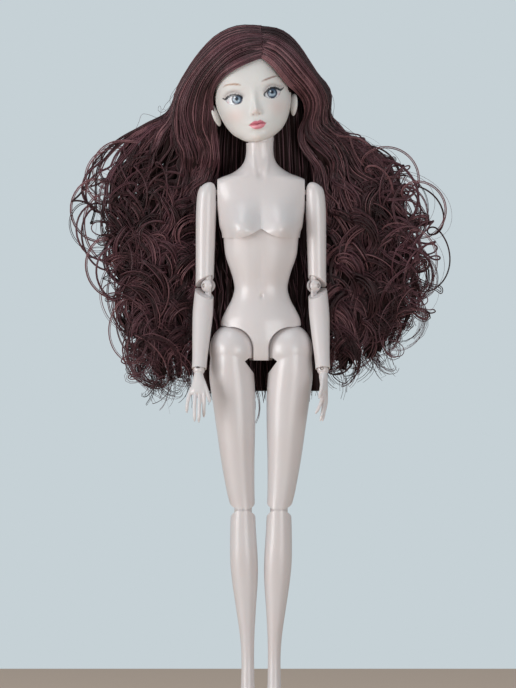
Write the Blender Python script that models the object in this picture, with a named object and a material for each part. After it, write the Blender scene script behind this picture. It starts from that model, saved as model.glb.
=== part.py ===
"""A jointed fashion doll, 1/6 scale, in metres, standing along +Z and facing -Y, with the waist at the origin."""

import math

import bmesh
import bpy
import numpy as np
from mathutils import Matrix, Vector

# Clearances
GAP = 0.0003
OVERRUN = 0.002
SEAM_HALF_GAP = 0.00015

# Neck and chest, heights above the waist
NECK_TOP = 0.0640
CHEST_HALF_WIDTH = 0.0200
CHEST_FRONT = 0.0137
CHEST_BACK = 0.0088
CHEST_SIDE = 0.0190
BUST_SPREAD = 0.0086
BUST_HEIGHT = 0.0295
BUST_RADIUS = 0.0068
BUST_DEPTH = 0.0036
SCALLOP_MIDDLE = 0.0257
SCALLOP_LOW = 0.0213
SCALLOP_SIDE = 0.0231
CUT_RADIUS = 0.0223

# Abdomen and pelvis
TORSO_HALF_WIDTH = 0.0174
TORSO_FRONT = 0.0116
TORSO_BACK = 0.0106
TORSO_TOP = 0.0305
TORSO_BOTTOM = 0.0306
WAIST_PIVOT = 0.0081
WAIST_BALL_RADIUS = 0.0056
POST_RADIUS = 0.0022
POST_TOP = 0.0390
NAVEL_DROP = 0.0026
NAVEL_RADIUS = 0.0014
NAVEL_DEPTH = 0.0006

# Neck joint and head
NECK_PIVOT = 0.0655
NECK_BALL_RADIUS = 0.0056
HEAD_TILT = math.radians(8)
HEAD_YAW = math.radians(3)
HEAD_HEIGHT = 0.0455
HEAD_HALF_WIDTH = 0.0166
HEAD_FRONT = 0.0165
HEAD_BACK = 0.0180
HEAD_WALL = 0.0022
CHIN_DROP = 0.0012
NOSE_DEPTH = 0.0026
EYE_SPREAD = 0.0078
EYE_HEIGHT = 0.0170
EAR_HEIGHT = 0.0100
EAR_DEPTH = 0.0052
EAR_THICKNESS = 0.0034
KNOB_RADIUS = 0.0046
KNOB_THICKNESS = 0.0018

# Arms
SHOULDER_REACH = 0.0238
SHOULDER_HEIGHT = 0.0424
SHOULDER_RADIUS = 0.0046
SHOULDER_HUB_RADIUS = 0.0026
SHOULDER_AXLE_LENGTH = 0.0120
SHOULDER_RAISE = math.radians(90)
ARM_SPLAY = math.radians(1.0)
UPPER_ARM_LENGTH = 0.0405
UPPER_ARM_RADIUS = 0.0044
ELBOW_BALL_RADIUS = 0.00305
ELBOW_OFFSET = 0.0022
ELBOW_FACING = math.radians(45)
FOREARM_LENGTH = 0.0386
FOREARM_RADIUS = 0.0044
FOREARM_SPLAY = math.radians(3.7)
FOREARM_LEAN = math.radians(18)
WRIST_BALL_RADIUS = 0.0025
WRIST_BEND = math.radians(40)
PALM_LENGTH = 0.0105
PALM_HALF_WIDTH = 0.0043
PALM_HALF_THICKNESS = 0.0018
FINGER_LENGTH = 0.0125
FINGER_RADIUS = 0.00088
LEFT_HAND_TURN = math.radians(12)
RIGHT_HAND_TURN = math.radians(78)

# Legs
HIP_REACH = 0.0130
HIP_DROP = 0.0261
HIP_RADIUS = 0.0112
HIP_HUB_RADIUS = 0.0044
HIP_SPREAD = math.radians(40)
HIP_SWING = math.radians(90)
HIP_OUTER_SHARE = 0.84
THIGH_LENGTH = 0.0694
THIGH_HALF_WIDTH = 0.0100
THIGH_HALF_DEPTH = 0.0106
KNEE_INSET = 0.0052
KNEE_BALL_RADIUS = 0.0040
KNEE_OFFSET = 0.0010
SHIN_LENGTH = 0.0800
CALF_HALF_WIDTH = 0.0060
CALF_HALF_DEPTH = 0.0066
ANKLE_INSET = 0.0020
ANKLE_BALL_RADIUS = 0.0026
FOOT_LENGTH = 0.0245
FOOT_DROP = 0.0150
FOOT_HALF_WIDTH = 0.0040
SOLE_FLAT = 0.0004
THIGH_GAP_HALF = 0.0053
CROTCH_GAP_HALF = 0.0070
CROTCH_GAP_DROP = 0.0080

# Hair
HAIR_THICKNESS = 0.0038
HAIRLINE_HEIGHT = 0.0345
HAIR_SPREAD = 0.0760
HAIR_TOP = 0.1100
HAIR_DROP = 0.0590
HAIR_SHORT_SHARE = 0.83
HAIR_FRONT = 0.0122
HAIR_DEPTH = 0.0150
HAIR_STRIP = 0.0120
HAIR_EDGE_SHARE = 0.15
HAIR_RIPPLE_SHARE = 0.07
HAIR_WAVES = 3

# Shares of a joint ball's radius
PIN_SHARE = 0.20
TONGUE_SHARE = 0.20
EYE_OF_TONGUE_SHARE = 0.58
STEM_SHARE = 0.42
POCKET_SHARE = 0.58
FORK_IN_SHARE = 0.46
FORK_OUT_SHARE = 0.62
FORK_HALF_SHARE = 0.34
BRIDGE_LOW_SHARE = 0.47
BRIDGE_TOP_SHARE = 0.66
CROSS_SHARE = 0.40
PIN_REACH_SHARE = 0.82

# Facets
BODY_SIDES = 22
LIMB_SIDES = 14
HIDDEN_SIDES = 12
SMALL_SIDES = 8
FINGER_SIDES = 6
TORSO_RINGS = 15
HEAD_RINGS = 17
LIMB_RINGS = 9
HAIR_RINGS = 14
SWING_STEPS = 6

SKIN = ("skin", (0.86, 0.77, 0.72), 0.35)
VINYL = ("face_vinyl", (0.88, 0.78, 0.72), 0.45)
INNER = ("inner_plastic", (0.80, 0.72, 0.66), 0.4)
METAL = ("pin_steel", (0.6, 0.6, 0.62), 0.3)
HAIR = ("hair_fibre", (0.10, 0.035, 0.03), 0.45)


def clear_scene():
    for old in list(bpy.data.objects):
        bpy.data.objects.remove(old, do_unlink=True)


def material_of(look):
    """The one material of this name, made at its first use."""
    name, colour, roughness = look
    made = bpy.data.materials.get(name)
    if made:
        return made
    made = bpy.data.materials.new(name)
    made.use_nodes = True
    shader = made.node_tree.nodes["Principled BSDF"]
    shader.inputs["Base Color"].default_value = (*colour, 1)
    shader.inputs["Roughness"].default_value = roughness
    shader.inputs["Metallic"].default_value = 1.0 if name == "pin_steel" else 0.0
    made.diffuse_color = (*colour, 1)
    return made


def make(name, form, frame, look=None, side=1):
    """An object from a bmesh drawn for the +X side. side -1 mirrors it."""
    if side < 0:
        bmesh.ops.scale(form, vec=(-1, 1, 1), verts=form.verts)
    bmesh.ops.recalc_face_normals(form, faces=form.faces)
    mesh = bpy.data.meshes.new(name)
    form.to_mesh(mesh)
    form.free()
    mesh.shade_smooth()
    mesh.set_sharp_from_angle(angle=math.radians(40))
    made = bpy.data.objects.new(name, mesh)
    bpy.context.scene.collection.objects.link(made)
    made.matrix_world = frame
    if look:
        mesh.materials.append(material_of(look))
    else:
        made.hide_render = True
        made.display_type = "WIRE"
    return made


def change(target, tool, operation="DIFFERENCE"):
    """A Boolean that stays on the target as a modifier."""
    modifier = target.modifiers.new(tool.name, "BOOLEAN")
    modifier.operation = operation
    modifier.solver = "EXACT"
    modifier.object = tool


def at(x=0.0, y=0.0, z=0.0):
    return Matrix.Translation((x, y, z))


def turned(angle, axis):
    return Matrix.Rotation(angle, 4, axis)


def smooth_rows(rows, count):
    """Rows read at evenly spaced places along a smooth curve through the given ones."""
    rows = np.array(rows, float)
    last = len(rows) - 1
    found = []
    for place in np.linspace(0, last, count):
        i = min(int(place), last - 1)
        t = place - i
        before, start, end, after = (rows[min(max(k, 0), last)] for k in (i - 1, i, i + 1, i + 2))
        slope = end - before
        bend = 2 * before - 5 * start + 4 * end - after
        twist = 3 * start - before - 3 * end + after
        found.append(start + 0.5 * (slope * t + bend * t**2 + twist * t**3))
    return found


def skin_over(rings):
    """A closed surface over rings of points, with a point at the middle of each end."""
    form = bmesh.new()
    laid = [[form.verts.new(point) for point in ring] for ring in rings]
    sides = len(laid[0])
    for lower, upper in zip(laid, laid[1:]):
        for k in range(sides):
            form.faces.new((lower[k], lower[(k + 1) % sides], upper[(k + 1) % sides], upper[k]))
    for ring in (laid[0], laid[-1]):
        middle = form.verts.new(sum((v.co for v in ring), Vector()) / sides)
        for k in range(sides):
            form.faces.new((ring[k], ring[(k + 1) % sides], middle))
    return form


def level_loft(rows, rings, sides, waves=0, ripple=0.0):
    """A loft of level ovals. A row is height, shift in x, shift in y, half width, front depth, back depth.

    Waves is the number of swells round it, which wind as they go up, and ripple is their size as a share.
    """
    loops = []
    for i, (z, x, y, wide, front, back) in enumerate(smooth_rows(rows, rings)):
        loop = []
        for k in range(sides):
            turn = math.tau * k / sides
            grow = 1 + ripple * math.cos(waves * turn + i)
            depth = front if math.sin(turn) < 0 else back
            loop.append((x + grow * wide * math.cos(turn), y + grow * depth * math.sin(turn), z))
        loops.append(loop)
    return skin_over(loops)


def swept_loft(rows, rings, sides, across):
    """A loft along a bent path. A row is x, y, z, half size along across, half size square to it."""
    read = smooth_rows(rows, rings)
    loops = []
    for i, row in enumerate(read):
        ahead = Vector(read[min(i + 1, rings - 1)][:3]) - Vector(read[max(i - 1, 0)][:3])
        other = ahead.cross(across).normalized()
        wide = other.cross(ahead).normalized()
        loops.append(
            [
                Vector(row[:3])
                + wide * row[3] * math.cos(math.tau * k / sides)
                + other * row[4] * math.sin(math.tau * k / sides)
                for k in range(sides)
            ]
        )
    return skin_over(loops)


def ball(radius, sides=SMALL_SIDES):
    """A sphere, turned by a quarter step so that no edge of it lies on an edge of a limb."""
    form = bmesh.new()
    lie = turned(math.tau / sides / 4, "Z")
    bmesh.ops.create_uvsphere(form, u_segments=sides, v_segments=sides // 2 + 1, radius=radius, matrix=lie)
    return form


def rod(radius, start, end, far_radius=None, sides=SMALL_SIDES):
    """A round rod or cone from one point to another."""
    start, end = Vector(start), Vector(end)
    form = bmesh.new()
    lie = (end - start).to_track_quat("Z", "Y").to_matrix().to_4x4()
    bmesh.ops.create_cone(
        form,
        cap_ends=True,
        segments=sides,
        radius1=radius,
        radius2=radius if far_radius is None else far_radius,
        depth=(end - start).length,
        matrix=Matrix.Translation((start + end) / 2) @ lie,
    )
    return form


def block(low, high):
    """A box between two corners."""
    low, high = Vector(low), Vector(high)
    form = bmesh.new()
    size = Matrix.Diagonal((*(high - low), 1))
    bmesh.ops.create_cube(form, size=1, matrix=Matrix.Translation((low + high) / 2) @ size)
    return form


def pushed(points, way):
    """A flat outline pushed straight along a direction."""
    form = bmesh.new()
    face = form.faces.new([form.verts.new(point) for point in points])
    grown = bmesh.ops.extrude_face_region(form, geom=[face])
    moved = [v for v in grown["geom"] if isinstance(v, bmesh.types.BMVert)]
    bmesh.ops.translate(form, verts=moved, vec=way)
    return form


def plate(outline, half_thickness):
    """A flat plate across X, from an outline of (y, z) points."""
    points = [(-half_thickness, y, z) for y, z in outline]
    return pushed(points, (2 * half_thickness, 0, 0))


def slab(outline, half_depth):
    """A flat slab across Y, from an outline of (x, z) points."""
    points = [(x, -half_depth, z) for x, z in outline]
    return pushed(points, (0, 2 * half_depth, 0))


def arc(radius, start, end, steps):
    """Points (y, z) round the X axis, where angle 0 is down and a quarter turn is -Y."""
    angles = np.linspace(start, end, steps)
    return [(-radius * math.sin(a), -radius * math.cos(a)) for a in angles]


def keyhole(eye, reach, half_thickness, start, end):
    """A slot cutter: a round eye, open outward between two angles."""
    outline = arc(reach, start, end, SMALL_SIDES) + arc(eye, end, start + math.tau, SMALL_SIDES)
    return plate(outline, half_thickness)


def tongue(radius, half_thickness, neck, length, up=False):
    """A round eye on a straight neck, which runs down, or up."""
    spread = math.asin(neck / radius)
    outline = arc(radius, spread, math.tau - spread, SMALL_SIDES)
    outline += [(neck, -length), (-neck, -length)]
    if up:
        outline = [(-y, -z) for y, z in outline]
    return plate(outline, half_thickness)


def fan_slot(radius, half_thickness, start, end):
    """A slot cutter shaped like a fan, from one angle to another."""
    return plate(arc(radius, start, end, SMALL_SIDES) + [(0.0, 0.0)], half_thickness)


def cut_seat(target, name, form, frame, side=1):
    change(target, make(f"cut_{target.name}_{name}", form, frame, side=side))


def add_form(target, name, form, frame, side=1):
    change(target, make(f"add_{target.name}_{name}", form, frame, side=side), "UNION")


def limb_frame(side, reach, y, z, splay=0.0, lean=0.0):
    """A frame on one side of the body, splayed outward and leaning forward."""
    return at(side * reach, y, z) @ turned(-side * splay, "Y") @ turned(-lean, "X")


def scallop(x):
    """Height of the lower edge of the chest under the bust."""
    reach = abs(x) / CHEST_HALF_WIDTH
    low = BUST_SPREAD / CHEST_HALF_WIDTH
    if reach < low:
        blend = 0.5 - 0.5 * math.cos(math.pi * reach / low)
        return SCALLOP_MIDDLE + (SCALLOP_LOW - SCALLOP_MIDDLE) * blend
    blend = min((reach - low) / (CHEST_SIDE / CHEST_HALF_WIDTH - low), 1.0)
    return SCALLOP_LOW + (SCALLOP_SIDE - SCALLOP_LOW) * blend**2


# Rows: height, half width, front and back, as shares of the chest's sizes
CHEST_SHARES = (
    (1.000, 0.280, 0.387, 0.64),
    (0.940, 0.280, 0.387, 0.65),
    (0.890, 0.310, 0.400, 0.70),
    (0.850, 0.400, 0.425, 0.80),
    (0.819, 0.510, 0.450, 0.87),
    (0.790, 0.650, 0.480, 0.91),
    (0.767, 0.850, 0.500, 0.92),
    (0.737, 0.995, 0.530, 0.94),
    (0.672, 1.010, 0.580, 0.98),
    (0.594, 0.970, 0.640, 1.00),
    (0.516, 0.935, 0.760, 1.00),
    (0.438, 0.905, 0.890, 0.99),
    (0.375, 0.850, 0.975, 1.00),
    (0.260, 0.830, 1.000, 1.00),
)

# Rows: height above the waist as a share of the top, then shares of the torso's sizes
ABDOMEN_SHARES = (
    (1.00, 0.930, 1.02, 0.84),
    (0.79, 0.937, 1.00, 0.83),
    (0.62, 0.920, 0.94, 0.81),
    (0.47, 0.880, 0.88, 0.78),
    (0.28, 0.765, 0.79, 0.75),
    (0.14, 0.695, 0.72, 0.72),
    (0.01, 0.667, 0.69, 0.71),
)
# The same below the waist, as shares of the drop to the crotch
PELVIS_SHARES = (
    (0.14, 0.740, 0.715, 0.755),
    (0.28, 0.874, 0.767, 0.85),
    (0.41, 0.977, 0.810, 0.94),
    (0.51, 1.000, 0.810, 0.99),
    (0.65, 0.990, 0.780, 1.00),
    (0.78, 0.955, 0.720, 0.96),
    (0.93, 0.860, 0.610, 0.81),
    (1.00, 0.800, 0.500, 0.68),
)


def chest_form():
    rows = [
        (h * NECK_TOP, 0, 0, w * CHEST_HALF_WIDTH, f * CHEST_FRONT, b * CHEST_BACK)
        for h, w, f, b in CHEST_SHARES
    ]
    form = level_loft(rows, TORSO_RINGS, BODY_SIDES)
    for v in form.verts:
        if v.co.y < 0:
            across = (abs(v.co.x) - BUST_SPREAD) / BUST_RADIUS
            up = (v.co.z - BUST_HEIGHT) / BUST_RADIUS
            swell = math.exp(-(across**2) - (up**2 if up > 0 else 0.6 * up**2))
            v.co.y -= BUST_DEPTH * swell * min(1.0, -v.co.y / BUST_RADIUS)
    return form


def chest_cutter():
    """All that lies under the scalloped edge of the chest."""
    wide = 1.2 * CHEST_HALF_WIDTH
    steps = np.linspace(-wide, wide, BODY_SIDES + 1)
    outline = [(float(x), scallop(x)) for x in steps] + [(wide, 0.0), (-wide, 0.0)]
    return slab(outline, 2 * CHEST_FRONT)


def half_cutter(front):
    """All that lies behind the front half of the body, or in front of the back half."""
    wide, deep, high = 2 * CHEST_HALF_WIDTH, 3 * CHEST_FRONT, NECK_TOP + NECK_BALL_RADIUS + OVERRUN
    if front:
        return block((-wide, -SEAM_HALF_GAP, -high), (wide, deep, high))
    return block((-wide, -deep, -high), (wide, SEAM_HALF_GAP, high))


def pocket_form(radius, reach_share):
    """The pocket between the two cheeks of a cross joint, open at the top."""
    half = POCKET_SHARE * radius
    reach = reach_share * radius
    return block((-half, -reach, -half), (half, reach, 2 * radius))


def make_chest():
    """Two moulded halves, with the neck and its ball."""
    for front in (True, False):
        name = "chest_front" if front else "chest_back"
        half = make(name, chest_form(), at(), SKIN)
        cut_seat(half, "scallop", chest_cutter(), at())
        add_form(half, "neck_ball", ball(NECK_BALL_RADIUS, BODY_SIDES), at(z=NECK_PIVOT))
        cut_seat(half, "dome", ball(CUT_RADIUS, BODY_SIDES), at(z=WAIST_PIVOT))
        cut_seat(half, "pocket", pocket_form(NECK_BALL_RADIUS, PIN_REACH_SHARE), at(z=NECK_PIVOT))
        bore = (PIN_SHARE * NECK_BALL_RADIUS + GAP)
        reach = PIN_REACH_SHARE * NECK_BALL_RADIUS + GAP
        cut_seat(half, "nod_bore", rod(bore, (-reach, 0, 0), (reach, 0, 0)), at(z=NECK_PIVOT))
        post = rod(POST_RADIUS + GAP, (0, 0, 0), (0, 0, POST_TOP + GAP - WAIST_PIVOT))
        cut_seat(half, "post_bore", post, at(z=WAIST_PIVOT))
        for side in (1, -1):
            wide = (CHEST_SIDE, -CHEST_FRONT, SCALLOP_SIDE + BUST_RADIUS)
            far = (2 * CHEST_HALF_WIDTH, CHEST_FRONT, NECK_TOP)
            cut_seat(half, f"side_{side}", block(wide, far), at(), side)
            inner = SHOULDER_REACH - SHOULDER_AXLE_LENGTH - GAP
            axle = STEM_SHARE * SHOULDER_HUB_RADIUS + GAP
            bored = rod(axle, (inner, 0, SHOULDER_HEIGHT), (SHOULDER_REACH, 0, SHOULDER_HEIGHT))
            cut_seat(half, f"axle_{side}", bored, at(), side)
        cut_seat(half, "half", half_cutter(front), at())


def torso_form():
    rows = [
        (h * TORSO_TOP, 0, 0, w * TORSO_HALF_WIDTH, f * TORSO_FRONT, b * TORSO_BACK)
        for h, w, f, b in ABDOMEN_SHARES
    ]
    rows += [
        (-h * TORSO_BOTTOM, 0, 0, w * TORSO_HALF_WIDTH, f * TORSO_FRONT, b * TORSO_BACK)
        for h, w, f, b in PELVIS_SHARES
    ]
    form = level_loft(rows, TORSO_RINGS, BODY_SIDES)
    for v in form.verts:
        away = math.hypot(v.co.x, v.co.z + NAVEL_DROP) / NAVEL_RADIUS
        if v.co.y < 0:
            v.co.y += NAVEL_DEPTH * math.exp(-(away**2))
    return form


def clear_swing(half, side):
    """Room in front of the hip for the raised thigh."""
    for step in range(1, SWING_STEPS + 1):
        wide, deep = THIGH_HALF_WIDTH + GAP, THIGH_HALF_DEPTH + GAP
        raised = at(side * HIP_REACH, 0, -HIP_DROP) @ turned(-HIP_SWING * step / SWING_STEPS, "X")
        form = limb_form(THIGH_SHARES, THIGH_LENGTH, wide, deep, LIMB_RINGS)
        cut_seat(half, f"swing_{side}_{step}", form, raised, side)


def make_torso():
    """Abdomen and pelvis in two halves: a domed top, a ball socket, and two hip sockets."""
    dome = CUT_RADIUS - GAP
    for front in (True, False):
        name = "torso_front" if front else "torso_back"
        half = make(name, torso_form(), at(), SKIN)
        cap = make(f"cut_{name}_dome", ball(dome, BODY_SIDES), at(z=WAIST_PIVOT))
        below = make(f"add_{name}_below", block((-dome, -dome, -2 * dome), (dome, dome, WAIST_PIVOT)), at())
        change(cap, below, "UNION")
        change(half, cap, "INTERSECT")
        cut_seat(half, "socket", ball(WAIST_BALL_RADIUS + GAP, HIDDEN_SIDES), at(z=WAIST_PIVOT))
        mouth = rod(
            0.7 * WAIST_BALL_RADIUS,
            (0, 0, 0.6 * WAIST_BALL_RADIUS),
            (0, 0, dome + OVERRUN),
            far_radius=1.5 * WAIST_BALL_RADIUS,
            sides=LIMB_SIDES,
        )
        cut_seat(half, "mouth", mouth, at(z=WAIST_PIVOT))
        for side in (1, -1):
            hip = at(side * HIP_REACH, 0, -HIP_DROP)
            cut_seat(half, f"hip_{side}", ball(HIP_RADIUS + GAP, BODY_SIDES), hip, side)
            if front:
                clear_swing(half, side)
        axle = STEM_SHARE * HIP_HUB_RADIUS + GAP
        cut_seat(half, "axle", rod(axle, (-HIP_REACH, 0, 0), (HIP_REACH, 0, 0)), at(z=-HIP_DROP))
        cut_seat(half, "half", half_cutter(front), at())


def make_cross(name, frame, radius):
    """The middle piece of a two-axis pivot: trunnions along X, and a bore for the pin along Y."""
    cross = make(name, ball(CROSS_SHARE * radius), frame, INNER)
    reach = PIN_REACH_SHARE * radius
    add_form(cross, "trunnions", rod(PIN_SHARE * radius, (-reach, 0, 0), (reach, 0, 0)), frame)
    bore = 0.75 * PIN_SHARE * radius + GAP
    cut_seat(cross, "bore", rod(bore, (0, -radius, 0), (0, radius, 0)), frame)


def add_fork(target, frame, radius):
    """Two cheeks, in front of the cross and behind it, that hang from a bridge above it."""
    inner, outer = FORK_IN_SHARE * radius, FORK_OUT_SHARE * radius
    half, top = FORK_HALF_SHARE * radius, BRIDGE_TOP_SHARE * radius
    for way, name in ((-1, "front"), (1, "back")):
        low = (-half, min(way * inner, way * outer), -half)
        high = (half, max(way * inner, way * outer), top)
        add_form(target, f"cheek_{name}", block(low, high), frame)
    bridge = block((-half, -outer, BRIDGE_LOW_SHARE * radius), (half, outer, top))
    add_form(target, "bridge", bridge, frame)
    bore = 0.75 * PIN_SHARE * radius + GAP
    cut_seat(target, "pin_bore", rod(bore, (0, -radius, 0), (0, radius, 0)), frame)


def make_waist():
    frame = at(z=WAIST_PIVOT)
    radius = WAIST_BALL_RADIUS
    turner = make("waist_ball", ball(radius, HIDDEN_SIDES), frame, INNER)
    cut_seat(turner, "pocket", pocket_form(radius, 1.5), frame)
    reach = PIN_REACH_SHARE * radius + GAP
    bore = PIN_SHARE * radius + GAP
    cut_seat(turner, "bore", rod(bore, (-reach, 0, 0), (reach, 0, 0)), frame)
    make_cross("waist_cross", frame, radius)
    post = rod(POST_RADIUS, (0, 0, 0.55 * radius), (0, 0, POST_TOP - WAIST_PIVOT))
    spine = make("spine_post", post, frame, INNER)
    add_fork(spine, frame, radius)
    reach = FORK_OUT_SHARE * radius
    pin = rod(0.75 * PIN_SHARE * radius, (0, -reach, 0), (0, reach, 0))
    make("waist_pin", pin, frame, METAL)


def make_neck(frame):
    """The cross and the knob inside the head."""
    radius = NECK_BALL_RADIUS
    make_cross("neck_cross", at(z=NECK_PIVOT), radius)
    stem = STEM_SHARE * NECK_BALL_RADIUS
    floor = radius + GAP + HEAD_WALL + GAP
    knob = make("neck_knob", rod(stem, (0, 0, 0.55 * radius), (0, 0, floor + KNOB_THICKNESS)), frame, INNER)
    cap = rod(KNOB_RADIUS, (0, 0, floor), (0, 0, floor + KNOB_THICKNESS), sides=LIMB_SIDES)
    add_form(knob, "cap", cap, frame)
    add_fork(knob, frame, radius)
    reach = FORK_OUT_SHARE * radius
    make("neck_pin", rod(0.75 * PIN_SHARE * radius, (0, -reach, 0), (0, reach, 0)), frame, METAL)


# Rows: height, shift back, half width, front and back, as shares of the head's sizes
HEAD_SHARES = (
    (-0.030, -0.62, 0.06, 0.06, 0.06),
    (-0.020, -0.55, 0.22, 0.22, 0.30),
    (0.020, -0.38, 0.38, 0.48, 0.62),
    (0.080, -0.20, 0.55, 0.68, 0.85),
    (0.160, -0.05, 0.72, 0.83, 0.90),
    (0.270, 0.02, 0.88, 0.93, 0.92),
    (0.400, 0.04, 0.975, 0.96, 0.97),
    (0.530, 0.04, 1.00, 0.97, 1.00),
    (0.680, 0.04, 0.97, 0.93, 0.98),
    (0.820, 0.04, 0.84, 0.80, 0.86),
    (0.920, 0.04, 0.62, 0.58, 0.64),
    (0.980, 0.04, 0.34, 0.32, 0.36),
    (1.000, 0.04, 0.06, 0.06, 0.06),
)


def head_form(grow=0.0, sides=BODY_SIDES, rings=HEAD_RINGS):
    """The head, or the same form made larger or smaller all round."""
    tall = HEAD_HEIGHT + CHIN_DROP
    rows = []
    for height, back, wide, front, behind in HEAD_SHARES:
        stretch = 2 * grow * (height - 0.5)
        rows.append(
            (
                height * tall - CHIN_DROP + stretch,
                0,
                back * HEAD_FRONT,
                max(wide * (HEAD_HALF_WIDTH + grow), 0.02 * HEAD_HALF_WIDTH),
                max(front * (HEAD_FRONT + grow), 0.02 * HEAD_FRONT),
                max(behind * (HEAD_BACK + grow), 0.02 * HEAD_BACK),
            )
        )
    return level_loft(rows, rings, sides)


def carve_face(form):
    """Nose, eye hollows, lips and chin, as soft swells on the front of the head."""
    third = HEAD_HALF_WIDTH / 3
    swells = (
        (0.0, 0.66 * EYE_HEIGHT, 0.42 * third, 0.30 * third, NOSE_DEPTH),
        (0.0, 0.86 * EYE_HEIGHT, 0.38 * third, 0.60 * third, 0.45 * NOSE_DEPTH),
        (0.0, 0.38 * EYE_HEIGHT, 0.75 * third, 0.32 * third, 0.45 * NOSE_DEPTH),
        (0.0, 0.02 * EYE_HEIGHT, 0.80 * third, 0.50 * third, 0.25 * NOSE_DEPTH),
        (EYE_SPREAD, EYE_HEIGHT, 0.90 * third, 0.60 * third, -0.40 * NOSE_DEPTH),
        (-EYE_SPREAD, EYE_HEIGHT, 0.90 * third, 0.60 * third, -0.40 * NOSE_DEPTH),
    )
    for v in form.verts:
        if v.co.y > -0.3 * HEAD_FRONT:
            continue
        for x, z, wide, tall, depth in swells:
            away = ((v.co.x - x) / wide) ** 2 + ((v.co.z - z) / tall) ** 2
            v.co.y -= depth * math.exp(-away)


def ear_form(side):
    form = ball(0.5 * EAR_HEIGHT, SMALL_SIDES)
    scale = (EAR_THICKNESS / EAR_HEIGHT, EAR_DEPTH / EAR_HEIGHT, 1)
    bmesh.ops.scale(form, vec=scale, verts=form.verts)
    lean = turned(math.radians(14), "X")
    bmesh.ops.transform(form, matrix=lean, verts=form.verts)
    bmesh.ops.translate(form, vec=(0.97 * HEAD_HALF_WIDTH, 0.15 * HEAD_BACK, 0.85 * EYE_HEIGHT), verts=form.verts)
    return form


def make_head(frame):
    """The hollow vinyl head, with the socket of the neck under it."""
    form = head_form()
    carve_face(form)
    head = make("head_shell", form, frame, VINYL)
    for side in (1, -1):
        add_form(head, f"ear_{side}", ear_form(side), frame, side)
    hollow = make("cut_head_shell_hollow", head_form(-HEAD_WALL, HIDDEN_SIDES, LIMB_RINGS), frame)
    floor = NECK_BALL_RADIUS + GAP + HEAD_WALL
    under = block((-HEAD_BACK, -HEAD_BACK, -HEAD_BACK), (HEAD_BACK, HEAD_BACK, floor))
    cut_seat(hollow, "under", under, frame)
    change(head, hollow)
    cut_seat(head, "socket", ball(NECK_BALL_RADIUS + GAP, HIDDEN_SIDES), frame)
    reach = NECK_BALL_RADIUS + GAP
    throat = rod(
        2.2 * reach, (0, 0, -HEAD_BACK), (0, 0, 0), far_radius=1.02 * reach, sides=LIMB_SIDES
    )
    cut_seat(head, "throat", throat, frame)
    hole = STEM_SHARE * NECK_BALL_RADIUS + GAP
    cut_seat(head, "stem_hole", rod(hole, (0, 0, 0), (0, 0, floor + OVERRUN)), frame)


def make_hub_joint(name, side, frame, limb, hub_radius, pin_reach, slot_reach, slot_angles):
    """A hub that swings on an axle along X, pinned through the limb along Y."""
    axle = STEM_SHARE * hub_radius
    pin = 0.55 * STEM_SHARE * hub_radius
    hub = make(f"{name}_hub", ball(hub_radius), frame, INNER, side)
    blind = rod(axle + GAP, (-2 * hub_radius, 0, 0), (-pin - 2 * GAP, 0, 0))
    cut_seat(hub, "axle_bore", blind, frame, side)
    cut_seat(hub, "pin_bore", rod(pin + GAP, (0, -hub_radius, 0), (0, hub_radius, 0)), frame, side)
    make(f"{name}_pin", rod(pin, (0, -pin_reach, 0), (0, pin_reach, 0)), frame, METAL, side)
    cut_seat(limb, "hub_seat", ball(hub_radius + 2 * GAP), frame, side)
    margin = math.asin((axle + 2 * GAP) / hub_radius)
    low, high = slot_angles
    slot = fan_slot(slot_reach, axle + 2 * GAP, math.pi / 2 - low - margin, math.pi / 2 + high + margin)
    bmesh.ops.transform(slot, matrix=turned(math.radians(-90), "Z"), verts=slot.verts)
    cut_seat(limb, "axle_slot", slot, frame, side)
    reach = pin_reach + GAP
    cut_seat(limb, "pin_bore", rod(pin + GAP, (0, -reach, 0), (0, reach, 0)), frame, side)


def make_ball_joint(name, side, frame, upper, lower, radius, sizes):
    """A ball on a stem in the upper limb, with the lower limb's tongue pinned in its slot."""
    back, seam, upper_rise, lower_fall, bend, stem_length = sizes
    eye, neck, half = EYE_OF_TONGUE_SHARE * radius, STEM_SHARE * radius, TONGUE_SHARE * radius
    pin = PIN_SHARE * radius
    joint = make(f"{name}_joint", ball(radius, HIDDEN_SIDES), frame, SKIN, side)
    stem = rod(neck, (0, 0, 0.8 * radius), (0, 0, stem_length))
    add_form(joint, "stem", stem, frame, side)
    aside = math.asin((neck + GAP) / (eye + GAP))
    slot = keyhole(eye + GAP, 2 * radius, half + GAP, -aside, bend + aside)
    cut_seat(joint, "slot", slot, frame, side)
    reach = PIN_REACH_SHARE * radius
    cut_seat(joint, "bore", rod(pin + GAP, (-radius, 0, 0), (radius, 0, 0)), frame, side)
    make(f"{name}_pin", rod(pin, (-reach, 0, 0), (reach, 0, 0)), frame, METAL, side)
    wide = 3 * radius
    span = back + wide
    down = plate([(back, seam), (-wide, seam + span * upper_rise), (-wide, -span), (back + wide, -span), (back + wide, seam)], wide)
    cut_seat(upper, f"{name}_end", down, frame, side)
    cut_seat(upper, f"{name}_seat", ball(radius + GAP, HIDDEN_SIDES), frame, side)
    cut_seat(upper, f"{name}_bore", rod(neck + GAP, (0, 0, 0), (0, 0, stem_length + GAP)), frame, side)
    low = seam - GAP
    above = plate([(back, low), (-wide, low - span * lower_fall), (-wide, span), (back + wide, span), (back + wide, low)], wide)
    cut_seat(lower, f"{name}_end", above, frame, side)
    cut_seat(lower, f"{name}_seat", ball(radius + GAP, HIDDEN_SIDES), frame, side)
    add_form(lower, f"{name}_tongue", tongue(eye, half, neck, 2 * radius), frame, side)
    cut_seat(lower, f"{name}_bore", rod(pin + GAP, (-radius, 0, 0), (radius, 0, 0)), frame, side)


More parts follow.
